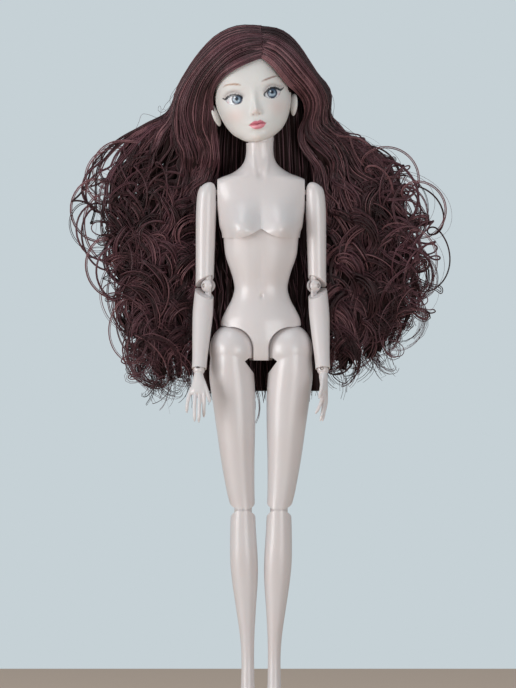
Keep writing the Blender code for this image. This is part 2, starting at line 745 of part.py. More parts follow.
def make_peg_joint(name, side, frame, upper, lower, radius, stem_length):
    """A peg that turns in the upper limb, with the lower limb's ball pinned on its tongue."""
    eye, neck, half = EYE_OF_TONGUE_SHARE * radius, STEM_SHARE * radius, TONGUE_SHARE * radius
    pin = PIN_SHARE * radius
    peg = make(f"{name}_peg", rod(neck, (0, 0, radius), (0, 0, stem_length)), frame, INNER, side)
    add_form(peg, "tongue", tongue(eye, half, neck, 1.3 * radius, up=True), frame, side)
    cut_seat(peg, "bore", rod(pin + GAP, (-radius, 0, 0), (radius, 0, 0)), frame, side)
    reach = PIN_REACH_SHARE * radius
    make(f"{name}_pin", rod(pin, (-reach, 0, 0), (reach, 0, 0)), frame, METAL, side)
    cut_seat(upper, f"{name}_cup", ball(radius + GAP, HIDDEN_SIDES), frame, side)
    cut_seat(upper, f"{name}_bore", rod(neck + GAP, (0, 0, 0), (0, 0, stem_length + GAP)), frame, side)
    spread = math.asin((neck + GAP) / (eye + GAP)) + WRIST_BEND
    slot = keyhole(eye + GAP, 2 * radius, half + GAP, math.pi - spread, math.pi + spread)
    cut_seat(lower, f"{name}_slot", slot, frame, side)
    cut_seat(lower, f"{name}_bore", rod(pin + GAP, (-2 * radius, 0, 0), (2 * radius, 0, 0)), frame, side)


# Rows: place along the limb, shift outward, half width, front, back, as shares of the limb's sizes
UPPER_ARM_SHARES = (
    (0.00, 0.00, 1.00, 1.03, 1.03),
    (0.25, 0.00, 1.00, 1.03, 1.03),
    (0.55, 0.00, 0.95, 1.00, 1.00),
    (0.85, 0.00, 0.90, 0.95, 0.95),
    (1.00, 0.00, 0.90, 0.93, 0.93),
    (1.12, 0.00, 0.92, 0.93, 0.93),
)
FOREARM_SHARES = (
    (-0.12, 0.00, 0.86, 0.90, 0.90),
    (0.00, 0.00, 0.88, 0.93, 0.93),
    (0.15, 0.00, 0.97, 1.00, 1.00),
    (0.35, 0.00, 1.00, 1.00, 1.00),
    (0.60, 0.00, 0.89, 0.90, 0.90),
    (0.85, 0.00, 0.75, 0.76, 0.76),
    (0.985, 0.00, 0.72, 0.72, 0.72),
)
THIGH_SHARES = (
    (-0.08, 0.02, 0.55, 0.62, 0.66),
    (-0.02, 0.02, 0.78, 0.86, 0.88),
    (0.05, 0.02, 0.88, 0.92, 0.96),
    (0.12, -0.01, 0.95, 0.92, 0.98),
    (0.19, -0.04, 0.98, 0.94, 0.99),
    (0.31, -0.12, 0.94, 0.93, 0.94),
    (0.50, -0.21, 0.84, 0.85, 0.84),
    (0.69, -0.29, 0.73, 0.74, 0.73),
    (0.88, -0.41, 0.61, 0.62, 0.62),
    (1.00, -0.52, 0.53, 0.56, 0.55),
    (1.12, -0.55, 0.52, 0.55, 0.54),
)
SHIN_SHARES = (
    (-0.10, 0.00, 0.87, 0.90, 0.80),
    (0.00, 0.00, 0.88, 0.92, 0.82),
    (0.10, 0.00, 0.93, 0.90, 0.90),
    (0.26, -0.06, 1.00, 0.86, 1.10),
    (0.38, -0.13, 0.94, 0.78, 1.05),
    (0.53, -0.21, 0.73, 0.64, 0.76),
    (0.68, -0.30, 0.53, 0.52, 0.52),
    (0.80, -0.34, 0.46, 0.46, 0.45),
    (0.92, -0.34, 0.48, 0.48, 0.47),
    (0.988, -0.34, 0.51, 0.52, 0.50),
)


def limb_form(shares, length, width, depth, rings, middle=0.0):
    """A limb along -Z. middle moves it back from its joint."""
    rows = [
        (-drop * length, shift * width, middle, wide * width, front * depth, back * depth)
        for drop, shift, wide, front, back in shares
    ]
    return level_loft(rows[::-1], rings, LIMB_SIDES)


def finger_form(start, length, spread, curl, radius):
    """One tapered finger from its knuckle, bent a little towards the palm, which faces +X."""
    steps = 4
    rows = []
    y, z, x = start[1], start[2], start[0]
    for k in range(steps + 1):
        share = k / steps
        size = radius * (1.0 - 0.30 * share) * (0.55 if k == steps else 1.0)
        rows.append((x, y, z, size, size))
        angle = curl * share
        x += length / steps * math.sin(angle)
        y += length / steps * math.sin(spread) * math.cos(angle)
        z -= length / steps * math.cos(spread) * math.cos(angle)
    return swept_loft(rows, 5, FINGER_SIDES, Vector((1, 0, 0)))


def make_hand(name, frame, side):
    """A slim hand along -Z: fingers spread in the YZ plane, thumb towards -Y, palm towards -X."""
    neck = WRIST_BALL_RADIUS
    thick, wide = PALM_HALF_THICKNESS, PALM_HALF_WIDTH
    rows = [
        (0.0, 0, 0, 0.60 * neck, 0.60 * neck, 0.60 * neck),
        (-0.25 * PALM_LENGTH, 0, 0, 0.80 * neck, 0.86 * neck, 0.86 * neck),
        (-0.60 * PALM_LENGTH, 0, 0, 1.05 * thick, 0.85 * wide, 0.80 * wide),
        (-0.90 * PALM_LENGTH, 0, 0, 0.95 * thick, 0.95 * wide, 0.98 * wide),
        (-1.05 * PALM_LENGTH, 0, 0, 0.60 * thick, 0.85 * wide, 0.90 * wide),
    ]
    hand = make(name, level_loft(rows[::-1], 6, HIDDEN_SIDES), frame, SKIN, side)
    add_form(hand, "wrist", ball(neck, HIDDEN_SIDES), frame, side)
    lengths = (0.88, 1.0, 0.95, 0.76)
    for k, share in enumerate(lengths):
        place = (k / 3 - 0.5) * 2
        start = (0, 0.74 * wide * place, -(0.93 - 0.07 * abs(place)) * PALM_LENGTH)
        form = finger_form(start, share * FINGER_LENGTH, math.radians(9) * place, -0.5, FINGER_RADIUS)
        add_form(hand, f"finger_{k}", form, frame, side)
    thumb = finger_form(
        (0, -0.45 * wide, -0.50 * PALM_LENGTH), 0.80 * FINGER_LENGTH, math.radians(-18), -0.4, 1.1 * FINGER_RADIUS
    )
    add_form(hand, "thumb", thumb, frame, side)
    return hand


def make_arm(label, side, hand_turn):
    shoulder = limb_frame(side, SHOULDER_REACH, 0, SHOULDER_HEIGHT, ARM_SPLAY)
    upper = make(f"upper_arm_{label}", limb_form(UPPER_ARM_SHARES, UPPER_ARM_LENGTH, UPPER_ARM_RADIUS, UPPER_ARM_RADIUS, 7), shoulder, SKIN, side)
    add_form(upper, "shoulder", ball(SHOULDER_RADIUS, LIMB_SIDES), shoulder, side)
    straight = limb_frame(side, SHOULDER_REACH, 0, SHOULDER_HEIGHT)
    make_hub_joint(
        f"shoulder_{label}", side, straight, upper, SHOULDER_HUB_RADIUS, 0.78 * SHOULDER_RADIUS,
        2 * SHOULDER_RADIUS, (0.0, SHOULDER_RAISE),
    )
    facing = turned(-side * ELBOW_FACING, "Z")
    elbow = shoulder @ at(z=-UPPER_ARM_LENGTH) @ facing @ at(y=-ELBOW_OFFSET)
    below = shoulder @ at(z=-UPPER_ARM_LENGTH) @ turned(-side * (FOREARM_SPLAY - ARM_SPLAY), "Y") @ turned(-FOREARM_LEAN, "X")
    forearm = make(f"forearm_{label}", limb_form(FOREARM_SHARES, FOREARM_LENGTH, FOREARM_RADIUS, FOREARM_RADIUS, 8), below, SKIN, side)
    wide = ELBOW_OFFSET + 0.9 * UPPER_ARM_RADIUS
    make_ball_joint(
        f"elbow_{label}", side, elbow, upper, forearm, ELBOW_BALL_RADIUS,
        (wide, -0.2 * ELBOW_BALL_RADIUS, 0.65, 0.52, math.radians(110), 3.2 * ELBOW_BALL_RADIUS),
    )
    wrist = below @ at(z=-FOREARM_LENGTH) @ turned(-side * hand_turn, "Z")
    hand = make_hand(f"hand_{label}", wrist, side)
    bend = wrist @ turned(side * math.radians(90), "Z")
    make_peg_joint(f"wrist_{label}", side, bend, forearm, hand, WRIST_BALL_RADIUS, 3.4 * WRIST_BALL_RADIUS)
    axle = STEM_SHARE * SHOULDER_HUB_RADIUS
    inner = SHOULDER_REACH - SHOULDER_AXLE_LENGTH
    end = SHOULDER_REACH - 0.55 * axle - 3 * GAP
    make(f"shoulder_{label}_axle", rod(axle, (inner - SHOULDER_REACH, 0, 0), (end - SHOULDER_REACH, 0, 0)), straight, INNER, side)


def foot_form():
    """An arched foot, from the ankle over the instep to the toes."""
    drop, reach, wide = FOOT_DROP, FOOT_LENGTH, FOOT_HALF_WIDTH
    rows = [
        (0, 0.03 * reach, 0.0, 0.60 * ANKLE_BALL_RADIUS, 0.60 * ANKLE_BALL_RADIUS),
        (0, -0.04 * reach, -0.20 * drop, 0.72 * wide, 1.0 * ANKLE_BALL_RADIUS),
        (0, -0.14 * reach, -0.48 * drop, 0.76 * wide, 1.2 * ANKLE_BALL_RADIUS),
        (0, -0.34 * reach, -0.74 * drop, 0.88 * wide, 0.95 * ANKLE_BALL_RADIUS),
        (0, -0.52 * reach, -0.87 * drop, 1.00 * wide, 0.75 * ANKLE_BALL_RADIUS),
        (0, -0.66 * reach, -0.92 * drop, 0.96 * wide, 0.55 * ANKLE_BALL_RADIUS),
        (0, -0.72 * reach, -0.93 * drop, 0.80 * wide, 0.40 * ANKLE_BALL_RADIUS),
    ]
    return swept_loft(rows, 7, HIDDEN_SIDES, Vector((1, 0, 0)))


def make_foot(name, frame, side):
    foot = make(name, foot_form(), frame, SKIN, side)
    add_form(foot, "ankle", ball(ANKLE_BALL_RADIUS, HIDDEN_SIDES), frame, side)
    heel_rows = [
        (0, 0.10 * FOOT_LENGTH, -0.62 * FOOT_DROP, 0.30 * FOOT_HALF_WIDTH, 0.30 * FOOT_HALF_WIDTH),
        (0, 0.09 * FOOT_LENGTH, -0.52 * FOOT_DROP, 0.62 * FOOT_HALF_WIDTH, 0.60 * FOOT_HALF_WIDTH),
        (0, 0.05 * FOOT_LENGTH, -0.34 * FOOT_DROP, 0.66 * FOOT_HALF_WIDTH, 0.70 * FOOT_HALF_WIDTH),
        (0, 0.01 * FOOT_LENGTH, -0.10 * FOOT_DROP, 0.50 * FOOT_HALF_WIDTH, 0.50 * FOOT_HALF_WIDTH),
    ]
    add_form(foot, "heel", swept_loft(heel_rows, 4, SMALL_SIDES, Vector((1, 0, 0))), frame, side)
    for k in range(5):
        share = k / 4
        x = FOOT_HALF_WIDTH * (-0.72 + 1.46 * share)
        y = -FOOT_LENGTH * (0.72 - 0.09 * share**2)
        size = FOOT_HALF_WIDTH * (0.30 - 0.10 * share)
        toe_rows = [
            (x, y + 0.10 * FOOT_LENGTH, -0.91 * FOOT_DROP, size, size),
            (x, y - 0.06 * FOOT_LENGTH, -0.93 * FOOT_DROP, size, size),
            (x, y - 0.14 * FOOT_LENGTH, -0.94 * FOOT_DROP, 0.75 * size, 0.75 * size),
            (x, y - 0.17 * FOOT_LENGTH, -0.94 * FOOT_DROP, 0.3 * size, 0.3 * size),
        ]
        add_form(foot, f"toe_{k}", swept_loft(toe_rows, 4, FINGER_SIDES, Vector((1, 0, 0))), frame, side)
    sole = FOOT_DROP + 0.35 * ANKLE_BALL_RADIUS - SOLE_FLAT
    flat = block((-2 * FOOT_HALF_WIDTH, -2 * FOOT_LENGTH, -2 * FOOT_DROP), (2 * FOOT_HALF_WIDTH, FOOT_LENGTH, -sole))
    cut_seat(foot, "sole", flat, frame, side)
    return foot


def thigh_top_form():
    """The round head of the thigh, flatter on its outer side."""
    form = ball(HIP_RADIUS, BODY_SIDES)
    for v in form.verts:
        if v.co.x > 0:
            v.co.x *= HIP_OUTER_SHARE
    return form


def thigh_notch():
    """What the head of the thigh loses on its inner side, under the crotch."""
    reach = HIP_REACH - THIGH_GAP_HALF
    drop = 0.37 * HIP_RADIUS
    slope = 0.55 * (HIP_RADIUS + reach)
    outline = [
        (-reach, -drop),
        (HIP_RADIUS, -drop - slope),
        (HIP_RADIUS, -2 * HIP_RADIUS),
        (-2 * HIP_RADIUS, -2 * HIP_RADIUS),
        (-2 * HIP_RADIUS, -drop),
    ]
    return slab(outline, 2 * HIP_RADIUS)


def crotch_notch():
    """The gap between the tops of the thighs, narrower as it goes down."""
    top = TORSO_BOTTOM - HIP_DROP
    outline = [
        (THIGH_GAP_HALF - HIP_REACH, -0.8 * top),
        (CROTCH_GAP_HALF - HIP_REACH, -1.1 * top),
        (0.2 * CROTCH_GAP_HALF - HIP_REACH, -top - CROTCH_GAP_DROP),
        (-2 * HIP_REACH, -top - CROTCH_GAP_DROP),
        (-2 * HIP_REACH, -0.8 * top),
    ]
    return slab(outline, 2 * HIP_RADIUS)


def make_leg(label, side):
    hip = limb_frame(side, HIP_REACH, 0, -HIP_DROP)
    thigh = make(f"thigh_{label}", thigh_top_form(), hip, SKIN, side)
    cut_seat(thigh, "notch", thigh_notch(), hip, side)
    body = limb_form(THIGH_SHARES, THIGH_LENGTH, THIGH_HALF_WIDTH, THIGH_HALF_DEPTH, LIMB_RINGS)
    add_form(thigh, "body", body, hip, side)
    cut_seat(thigh, "crotch", crotch_notch(), hip, side)
    make_hub_joint(
        f"hip_{label}", side, hip, thigh, HIP_HUB_RADIUS, 0.62 * HIP_RADIUS,
        2 * HIP_RADIUS, (0.0, HIP_SPREAD),
    )
    knee = at(side * (HIP_REACH - KNEE_INSET), 0, -HIP_DROP - THIGH_LENGTH)
    turned_knee = knee @ at(y=KNEE_OFFSET) @ turned(math.pi, "Z")
    shin = make(f"shin_{label}", limb_form(SHIN_SHARES, SHIN_LENGTH, CALF_HALF_WIDTH, CALF_HALF_DEPTH, LIMB_RINGS), knee, SKIN, side)
    make_ball_joint(
        f"knee_{label}", side, turned_knee, thigh, shin, KNEE_BALL_RADIUS,
        (KNEE_OFFSET + 0.55 * THIGH_HALF_DEPTH, 0.0, 0.55, 0.55, math.radians(110), 2.6 * KNEE_BALL_RADIUS),
    )
    ankle = knee @ at(-side * ANKLE_INSET, 0, -SHIN_LENGTH)
    foot = make_foot(f"foot_{label}", ankle, side)
    make_peg_joint(f"ankle_{label}", side, ankle, shin, foot, ANKLE_BALL_RADIUS, 3.0 * ANKLE_BALL_RADIUS)


# The edge of the scalp piece from the side: back and up from the middle of the neck ball
HAIRLINE_SHARES = ((-2.0, 1.00), (-0.62, 0.97), (-0.22, 0.72), (0.38, 0.64), (0.42, -1.0), (-2.0, -1.0))

# Rows: height, middle, half width, front and back, as shares of the hair's sizes
HAIR_SIDE_SHARES = (
    (0.970, 0.14, 0.09, -0.30, 0.55),
    (0.900, 0.20, 0.15, -0.60, 0.85),
    (0.800, 0.26, 0.18, -0.60, 0.95),
    (0.700, 0.29, 0.17, -0.35, 1.15),
    (0.610, 0.34, 0.21, 0.20, 1.45),
    (0.530, 0.43, 0.33, 0.72, 1.75),
    (0.485, 0.46, 0.36, 1.00, 1.85),
    (0.400, 0.50, 0.40, 1.05, 2.00),
    (0.270, 0.57, 0.43, 1.05, 2.05),
    (0.100, 0.57, 0.43, 1.05, 2.10),
    (-0.160, 0.54, 0.40, 1.05, 2.05),
    (-0.480, 0.46, 0.32, 1.07, 1.90),
    (-0.780, 0.38, 0.21, 1.12, 1.75),
    (-1.000, 0.32, 0.06, 1.25, 1.45),
)
HAIR_BACK_SHARES = (
    (0.680, 0.00, 0.55, 1.45, 1.75),
    (0.630, 0.00, 0.85, 1.05, 1.95),
    (0.560, 0.00, 0.92, 0.82, 2.05),
    (0.450, 0.00, 0.92, 0.95, 2.10),
    (0.250, 0.00, 0.92, 1.05, 2.10),
    (0.000, 0.00, 0.92, 1.05, 2.10),
    (-0.450, 0.00, 0.92, 1.06, 1.95),
    (-0.750, 0.00, 0.70, 1.12, 1.70),
    (-0.820, 0.00, 0.30, 1.25, 1.45),
)


def hair_form(shares, spread, drop, aside):
    """One mass of hair. Above the neck it leans over with the head: aside 1 towards +X, -1 away."""
    rows = []
    for height, middle, wide, front, back in shares:
        z = height * (HAIR_TOP if height > 0 else drop)
        lean = aside * math.tan(HEAD_TILT) * max(0.0, z - NECK_PIVOT)
        near, far = front * HAIR_FRONT, back * HAIR_DEPTH
        half = (far - near) / 2
        rows.append((z, middle * spread + lean, near + half, wide * spread, half, half))
    return level_loft(rows[::-1], HAIR_RINGS, LIMB_SIDES, HAIR_WAVES, HAIR_RIPPLE_SHARE)


def beyond(place, limit):
    """The place itself where it is well past the limit, and else just past the limit, without a step."""
    margin = HAIR_EDGE_SHARE * limit
    if place > limit + margin:
        return place
    return limit + margin * math.exp((place - limit - margin) / margin)


def make_hair(frame):
    """The rooted scalp, and three masses of long hair that hang from it."""
    cap = make("hair_cap", head_form(HAIR_THICKNESS + GAP), frame, HAIR)
    cut_seat(cap, "head", head_form(GAP), frame)
    outline = [(back * HEAD_BACK, up * HAIRLINE_HEIGHT) for back, up in HAIRLINE_SHARES]
    cut_seat(cap, "face", plate(outline, 2 * HEAD_HALF_WIDTH), frame)
    reach = HAIR_THICKNESS + 2 * GAP
    for label, side, drop in (("left", 1, HAIR_SHORT_SHARE * HAIR_DROP), ("right", -1, HAIR_DROP)):
        form = hair_form(HAIR_SIDE_SHARES, HAIR_SPREAD, drop, -side)
        for v in form.verts:
            if v.co.y > 0:
                v.co.x = beyond(v.co.x, HAIR_STRIP)
        mass = make(f"hair_{label}", form, at(), HAIR, side)
        cut_seat(mass, "head", head_form(reach), frame)
    back = make("hair_back", hair_form(HAIR_BACK_SHARES, HAIR_STRIP, HAIR_DROP, -1), at(), HAIR)
    cut_seat(back, "head", head_form(reach), frame)


def main():
    clear_scene()
    make_chest()
    make_torso()
    make_waist()
    head_frame = at(z=NECK_PIVOT) @ turned(-HEAD_TILT, "Y")
    make_neck(head_frame)
    face_frame = head_frame @ turned(HEAD_YAW, "Z")
    make_head(face_frame)
    make_hair(face_frame)
    for label, side, hand_turn in (("left", 1, LEFT_HAND_TURN), ("right", -1, RIGHT_HAND_TURN)):
        make_arm(label, side, hand_turn)
        make_leg(label, side)
    reach = HIP_REACH - 0.55 * STEM_SHARE * HIP_HUB_RADIUS - 3 * GAP
    make("hip_axle", rod(STEM_SHARE * HIP_HUB_RADIUS, (-reach, 0, 0), (reach, 0, 0)), at(z=-HIP_DROP), INNER)


main()
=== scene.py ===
import math
import random

import bmesh
import bpy
import numpy as np
from mathutils import Matrix, Vector, noise
from mathutils.bvhtree import BVHTree


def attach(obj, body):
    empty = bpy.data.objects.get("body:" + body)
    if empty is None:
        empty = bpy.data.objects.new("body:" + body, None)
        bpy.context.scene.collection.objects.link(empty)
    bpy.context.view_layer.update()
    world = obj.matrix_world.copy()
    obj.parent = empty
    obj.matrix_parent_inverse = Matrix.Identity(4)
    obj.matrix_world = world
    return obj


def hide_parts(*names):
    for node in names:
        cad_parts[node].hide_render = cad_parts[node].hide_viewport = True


# A jointed fashion doll. Shapes are drawn in millimetres from the waist, and finishPiece makes them metres.
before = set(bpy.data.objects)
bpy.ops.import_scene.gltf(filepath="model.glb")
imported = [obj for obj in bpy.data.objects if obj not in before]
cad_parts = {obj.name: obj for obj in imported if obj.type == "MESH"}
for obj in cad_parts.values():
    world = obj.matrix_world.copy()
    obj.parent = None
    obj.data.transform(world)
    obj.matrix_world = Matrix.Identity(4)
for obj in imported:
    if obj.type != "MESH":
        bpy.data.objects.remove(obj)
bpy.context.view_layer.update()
dice = random.Random(11)
gap = 0.3


# ---- placing and shaping

def at(x=0.0, y=0.0, z=0.0):
    return Matrix.Translation((x, y, z))


def turned(degrees, axis):
    return Matrix.Rotation(math.radians(degrees), 4, axis)


def smoothRows(rows, count):
    # rows read at even steps along a smooth curve through the given ones
    rows = np.array(rows, float)
    last = len(rows) - 1
    found = []
    for place in np.linspace(0, last, count):
        i = min(int(place), last - 1)
        t = place - i
        before, start, end, after = (rows[min(max(k, 0), last)] for k in (i - 1, i, i + 1, i + 2))
        slope, bend, twist = end - before, 2 * before - 5 * start + 4 * end - after, 3 * start - before - 3 * end + after
        found.append(start + 0.5 * (slope * t + bend * t**2 + twist * t**3))
    return np.array(found)


def bump(value, middle, width):
    return math.exp(-(((value - middle) / width) ** 2))


def loftForm(rows, rings, sides, crowd=0.0, fullness=2.0):
    # level ovals drawn out of one circle; a row is z, x, y, half width, front, back
    form = bmesh.new()
    turn = form.verts.layers.float.new("turn")
    bmesh.ops.create_circle(form, segments=sides, radius=1)
    for vert in form.verts:
        angle = math.atan2(vert.co.y, vert.co.x)
        vert[turn] = angle - crowd * math.cos(angle)  # crowd packs the points towards the front
    read = smoothRows(rows, rings)
    edges, ring = list(form.edges), list(form.verts)
    for step, (z, x, y, wide, front, back) in enumerate(read):
        if step:
            grown = bmesh.ops.extrude_edge_only(form, edges=edges)["geom"]
            ring = [part for part in grown if isinstance(part, bmesh.types.BMVert)]
            edges = [part for part in grown if isinstance(part, bmesh.types.BMEdge) and part.is_boundary]
        for vert in ring:
            across, along = math.cos(vert[turn]), math.sin(vert[turn])
            deep = front if along < 0 else back
            if along < 0:
                across = math.copysign(abs(across) ** (2 / fullness), across)
                along = -abs(along) ** (2 / fullness)
            vert.co = (x + wide * across, y + deep * along, z)
    capEnds(form)
    return form


def capEnds(form):
    filled = bmesh.ops.holes_fill(form, edges=[edge for edge in form.edges if edge.is_boundary])["faces"]
    bmesh.ops.poke(form, faces=filled)
    bmesh.ops.recalc_face_normals(form, faces=form.faces)


def sweptForm(rows, rings, sides, across):
    # rings drawn along a bent path; a row is x, y, z, half size along across, half size square to it
    form = bmesh.new()
    turn = form.verts.layers.float.new("turn")
    bmesh.ops.create_circle(form, segments=sides, radius=1)
    for vert in form.verts:
        vert[turn] = math.atan2(vert.co.y, vert.co.x)
    read = smoothRows(rows, rings)
    edges, ring = list(form.edges), list(form.verts)
    for step, row in enumerate(read):
        if step:
            grown = bmesh.ops.extrude_edge_only(form, edges=edges)["geom"]
            ring = [part for part in grown if isinstance(part, bmesh.types.BMVert)]
            edges = [part for part in grown if isinstance(part, bmesh.types.BMEdge) and part.is_boundary]
        ahead = Vector(read[min(step + 1, rings - 1)][:3]) - Vector(read[max(step - 1, 0)][:3])
        other = ahead.cross(across).normalized()
        wide = other.cross(ahead).normalized()
        for vert in ring:
            vert.co = Vector(row[:3]) + wide * row[3] * math.cos(vert[turn]) + other * row[4] * math.sin(vert[turn])
    capEnds(form)
    return form


def ballForm(radius, segments=48):
    form = bmesh.new()
    lie = turned(90 / segments, "Z")
    bmesh.ops.create_uvsphere(form, u_segments=segments, v_segments=segments // 2 + 1, radius=radius, matrix=lie)
    return form


def rodForm(radius, start, end, farRadius=None, segments=40):
    start, end = Vector(start), Vector(end)
    form = bmesh.new()
    lie = (end - start).to_track_quat("Z", "Y").to_matrix().to_4x4()
    bmesh.ops.create_cone(
        form, cap_ends=True, segments=segments, radius1=radius,
        radius2=radius if farRadius is None else farRadius,
        depth=(end - start).length, matrix=Matrix.Translation((start + end) / 2) @ lie,
    )
    return form


def blockForm(low, high):
    low, high = Vector(low), Vector(high)
    form = bmesh.new()
    size = Matrix.Diagonal((*(high - low), 1))
    bmesh.ops.create_cube(form, size=1, matrix=Matrix.Translation((low + high) / 2) @ size)
    return form


def plateForm(outline, half, way="x"):
    # a flat outline pushed to both sides, across x from (y, z) or across y from (x, z)
    form = bmesh.new()
    points = [(-half, a, b) if way == "x" else (a, -half, b) for a, b in outline]
    face = form.faces.new([form.verts.new(point) for point in points])
    grown = bmesh.ops.extrude_face_region(form, geom=[face])["geom"]
    push = (2 * half, 0, 0) if way == "x" else (0, 2 * half, 0)
    bmesh.ops.translate(form, verts=[part for part in grown if isinstance(part, bmesh.types.BMVert)], vec=push)
    bmesh.ops.recalc_face_normals(form, faces=form.faces)
    return form


def arcPoints(radius, start, end, steps=20):
    return [(-radius * math.sin(a), -radius * math.cos(a)) for a in np.linspace(start, end, steps)]


def solidOf(form, name, place=None, side=1):
    # an object of this form, mirrored for the other side, then laid in its place
    if side < 0:
        bmesh.ops.scale(form, vec=(-1, 1, 1), verts=form.verts)
    if place is not None:
        bmesh.ops.transform(form, matrix=place, verts=form.verts)
    bmesh.ops.recalc_face_normals(form, faces=form.faces)
    mesh = bpy.data.meshes.new(name)
    form.to_mesh(mesh)
    form.free()
    made = bpy.data.objects.new(name, mesh)
    bpy.context.scene.collection.objects.link(made)
    return made


def settle(piece):
    # the modifiers become the mesh
    bpy.context.view_layer.update()
    view = bpy.context.evaluated_depsgraph_get()
    made = bpy.data.meshes.new_from_object(piece.evaluated_get(view))
    old = piece.data
    piece.modifiers.clear()
    piece.data = made
    bpy.data.meshes.remove(old)


def carve(piece, form, place=None, side=1, operation="DIFFERENCE"):
    tool = solidOf(form, "tool", place, side)
    step = piece.modifiers.new("step", "BOOLEAN")
    step.operation, step.solver, step.object = operation, "MANIFOLD", tool
    settle(piece)
    mesh = tool.data
    bpy.data.objects.remove(tool)
    bpy.data.meshes.remove(mesh)


def join(piece, form, place=None, side=1):
    carve(piece, form, place, side, "UNION")


def add(piece, form, place=None, side=1):
    # lays one closed form in another; softenUnion then makes one skin of them
    other = solidOf(form, "added", place, side)
    both = bmesh.new()
    both.from_mesh(piece.data)
    both.from_mesh(other.data)
    both.to_mesh(piece.data)
    both.free()
    mesh = other.data
    bpy.data.objects.remove(other)
    bpy.data.meshes.remove(mesh)


def finishPiece(piece, look, slotName, body, *nodes, sharp=38):
    mesh = piece.data
    mesh.transform(Matrix.Scale(0.001, 4))
    mesh.materials.clear()
    mesh.materials.append(look)
    mesh.shade_smooth()
    mesh.set_sharp_from_angle(angle=math.radians(sharp))
    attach(piece, body)
    if nodes:
        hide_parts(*nodes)
    print(f"{piece.name}: {len(mesh.polygons)} faces")
    return piece


# ---- finishes

def linear(hexColour):
    shares = [int(hexColour[k:k + 2], 16) / 255 for k in (1, 3, 5)]
    return [s / 12.92 if s <= 0.04045 else ((s + 0.055) / 1.055) ** 2.4 for s in shares]


def colour(hexColour):
    return (*linear(hexColour), 1)


def addNode(tree, kind, settings=(), links=()):
    node = tree.nodes.new(kind)
    for key, value in dict(settings).items():
        if isinstance(key, str) and hasattr(node, key):
            setattr(node, key, value)
        else:
            node.inputs[key].default_value = value
    for key, source in dict(links).items():
        tree.links.new(source, node.inputs[key])
    return node


def newFinish(name, roughness, settings=()):
    made = bpy.data.materials.new(name)
    made.use_nodes = True
    shader = made.node_tree.nodes["Principled BSDF"]
    shader.inputs["Roughness"].default_value = roughness
    for key, value in dict(settings).items():
        shader.inputs[key].default_value = value
    return made, made.node_tree, shader


# Moulded ABS body with a thin pearl lacquer: pale ivory, soft gloss, faint warm and cool patches a finger wide
skinLook = {"pale": "#dad7d8", "warm": "#d8cdcb", "patch": 22, "pearl": 0.35, "roughness": 0.32}


def pearlAbs(name, look, seam=False):
    made, tree, shader = newFinish(name, look["roughness"], {
        "Coat Weight": 0.30, "Coat Roughness": 0.18, "Subsurface Weight": 0.10, "Subsurface Scale": 0.002,
    })
    shader.inputs["Subsurface Radius"].default_value = (1.0, 0.55, 0.4)
    place = addNode(tree, "ShaderNodeTexCoord").outputs["Object"]
    patches = addNode(tree, "ShaderNodeTexNoise", {"Scale": 1000 / look["patch"], "Detail": 2.0}, {"Vector": place})
    tone = addNode(tree, "ShaderNodeMix", {"data_type": "RGBA", 6: colour(look["pale"]), 7: colour(look["warm"])}, {0: patches.outputs["Fac"]})
    flake = addNode(tree, "ShaderNodeTexNoise", {"Scale": 1000 / look["pearl"], "Detail": 3.0}, {"Vector": place})
    gloss = addNode(tree, "ShaderNodeMapRange", {"To Min": look["roughness"] - 0.05, "To Max": look["roughness"] + 0.07}, {"Value": flake.outputs["Fac"]})
    grain = addNode(tree, "ShaderNodeBump", {"Strength": 0.05, "Distance": 0.00005}, {"Height": flake.outputs["Fac"]})
    result = tone.outputs[2]
    if seam:  # the two halves of the trunk meet on the middle plane
        depth = addNode(tree, "ShaderNodeSeparateXYZ", links={0: place}).outputs["Y"]
        off = addNode(tree, "ShaderNodeMath", {"operation": "ABSOLUTE"}, {0: depth})
        line = addNode(tree, "ShaderNodeMapRange", {"From Min": 0.00008, "From Max": 0.00022, "To Min": 1.0, "To Max": 0.0}, {"Value": off.outputs[0]})
        result = addNode(tree, "ShaderNodeMix", {"data_type": "RGBA", 7: colour("#8f7d76")}, {0: line.outputs["Result"], 6: result}).outputs[2]
    tree.links.new(result, shader.inputs["Base Color"])
    tree.links.new(gloss.outputs["Result"], shader.inputs["Roughness"])
    tree.links.new(grain.outputs["Normal"], shader.inputs["Normal"])
    return made


def paintedVinyl():
    # Rotocast soft vinyl with a matt spray, and the face paint from the mesh: eyes and lips have a gloss varnish
    made, tree, shader = newFinish("paintedVinyl", 0.5, {"Subsurface Weight": 0.12, "Subsurface Scale": 0.002, "Coat Roughness": 0.08})
    shader.inputs["Subsurface Radius"].default_value = (1.0, 0.5, 0.35)
    paint = addNode(tree, "ShaderNodeAttribute", {"attribute_name": "paint"})
    varnish = addNode(tree, "ShaderNodeAttribute", {"attribute_name": "varnish"})
    place = addNode(tree, "ShaderNodeTexCoord").outputs["Object"]
    spray = addNode(tree, "ShaderNodeTexNoise", {"Scale": 2500.0, "Detail": 2.0}, {"Vector": place})
    grain = addNode(tree, "ShaderNodeBump", {"Strength": 0.06, "Distance": 0.00005}, {"Height": spray.outputs["Fac"]})
    gloss = addNode(tree, "ShaderNodeMapRange", {"To Min": 0.50, "To Max": 0.16}, {"Value": varnish.outputs["Fac"]})
    tree.links.new(paint.outputs["Color"], shader.inputs["Base Color"])
    tree.links.new(gloss.outputs["Result"], shader.inputs["Roughness"])
    tree.links.new(grain.outputs["Normal"], shader.inputs["Normal"])
    return made


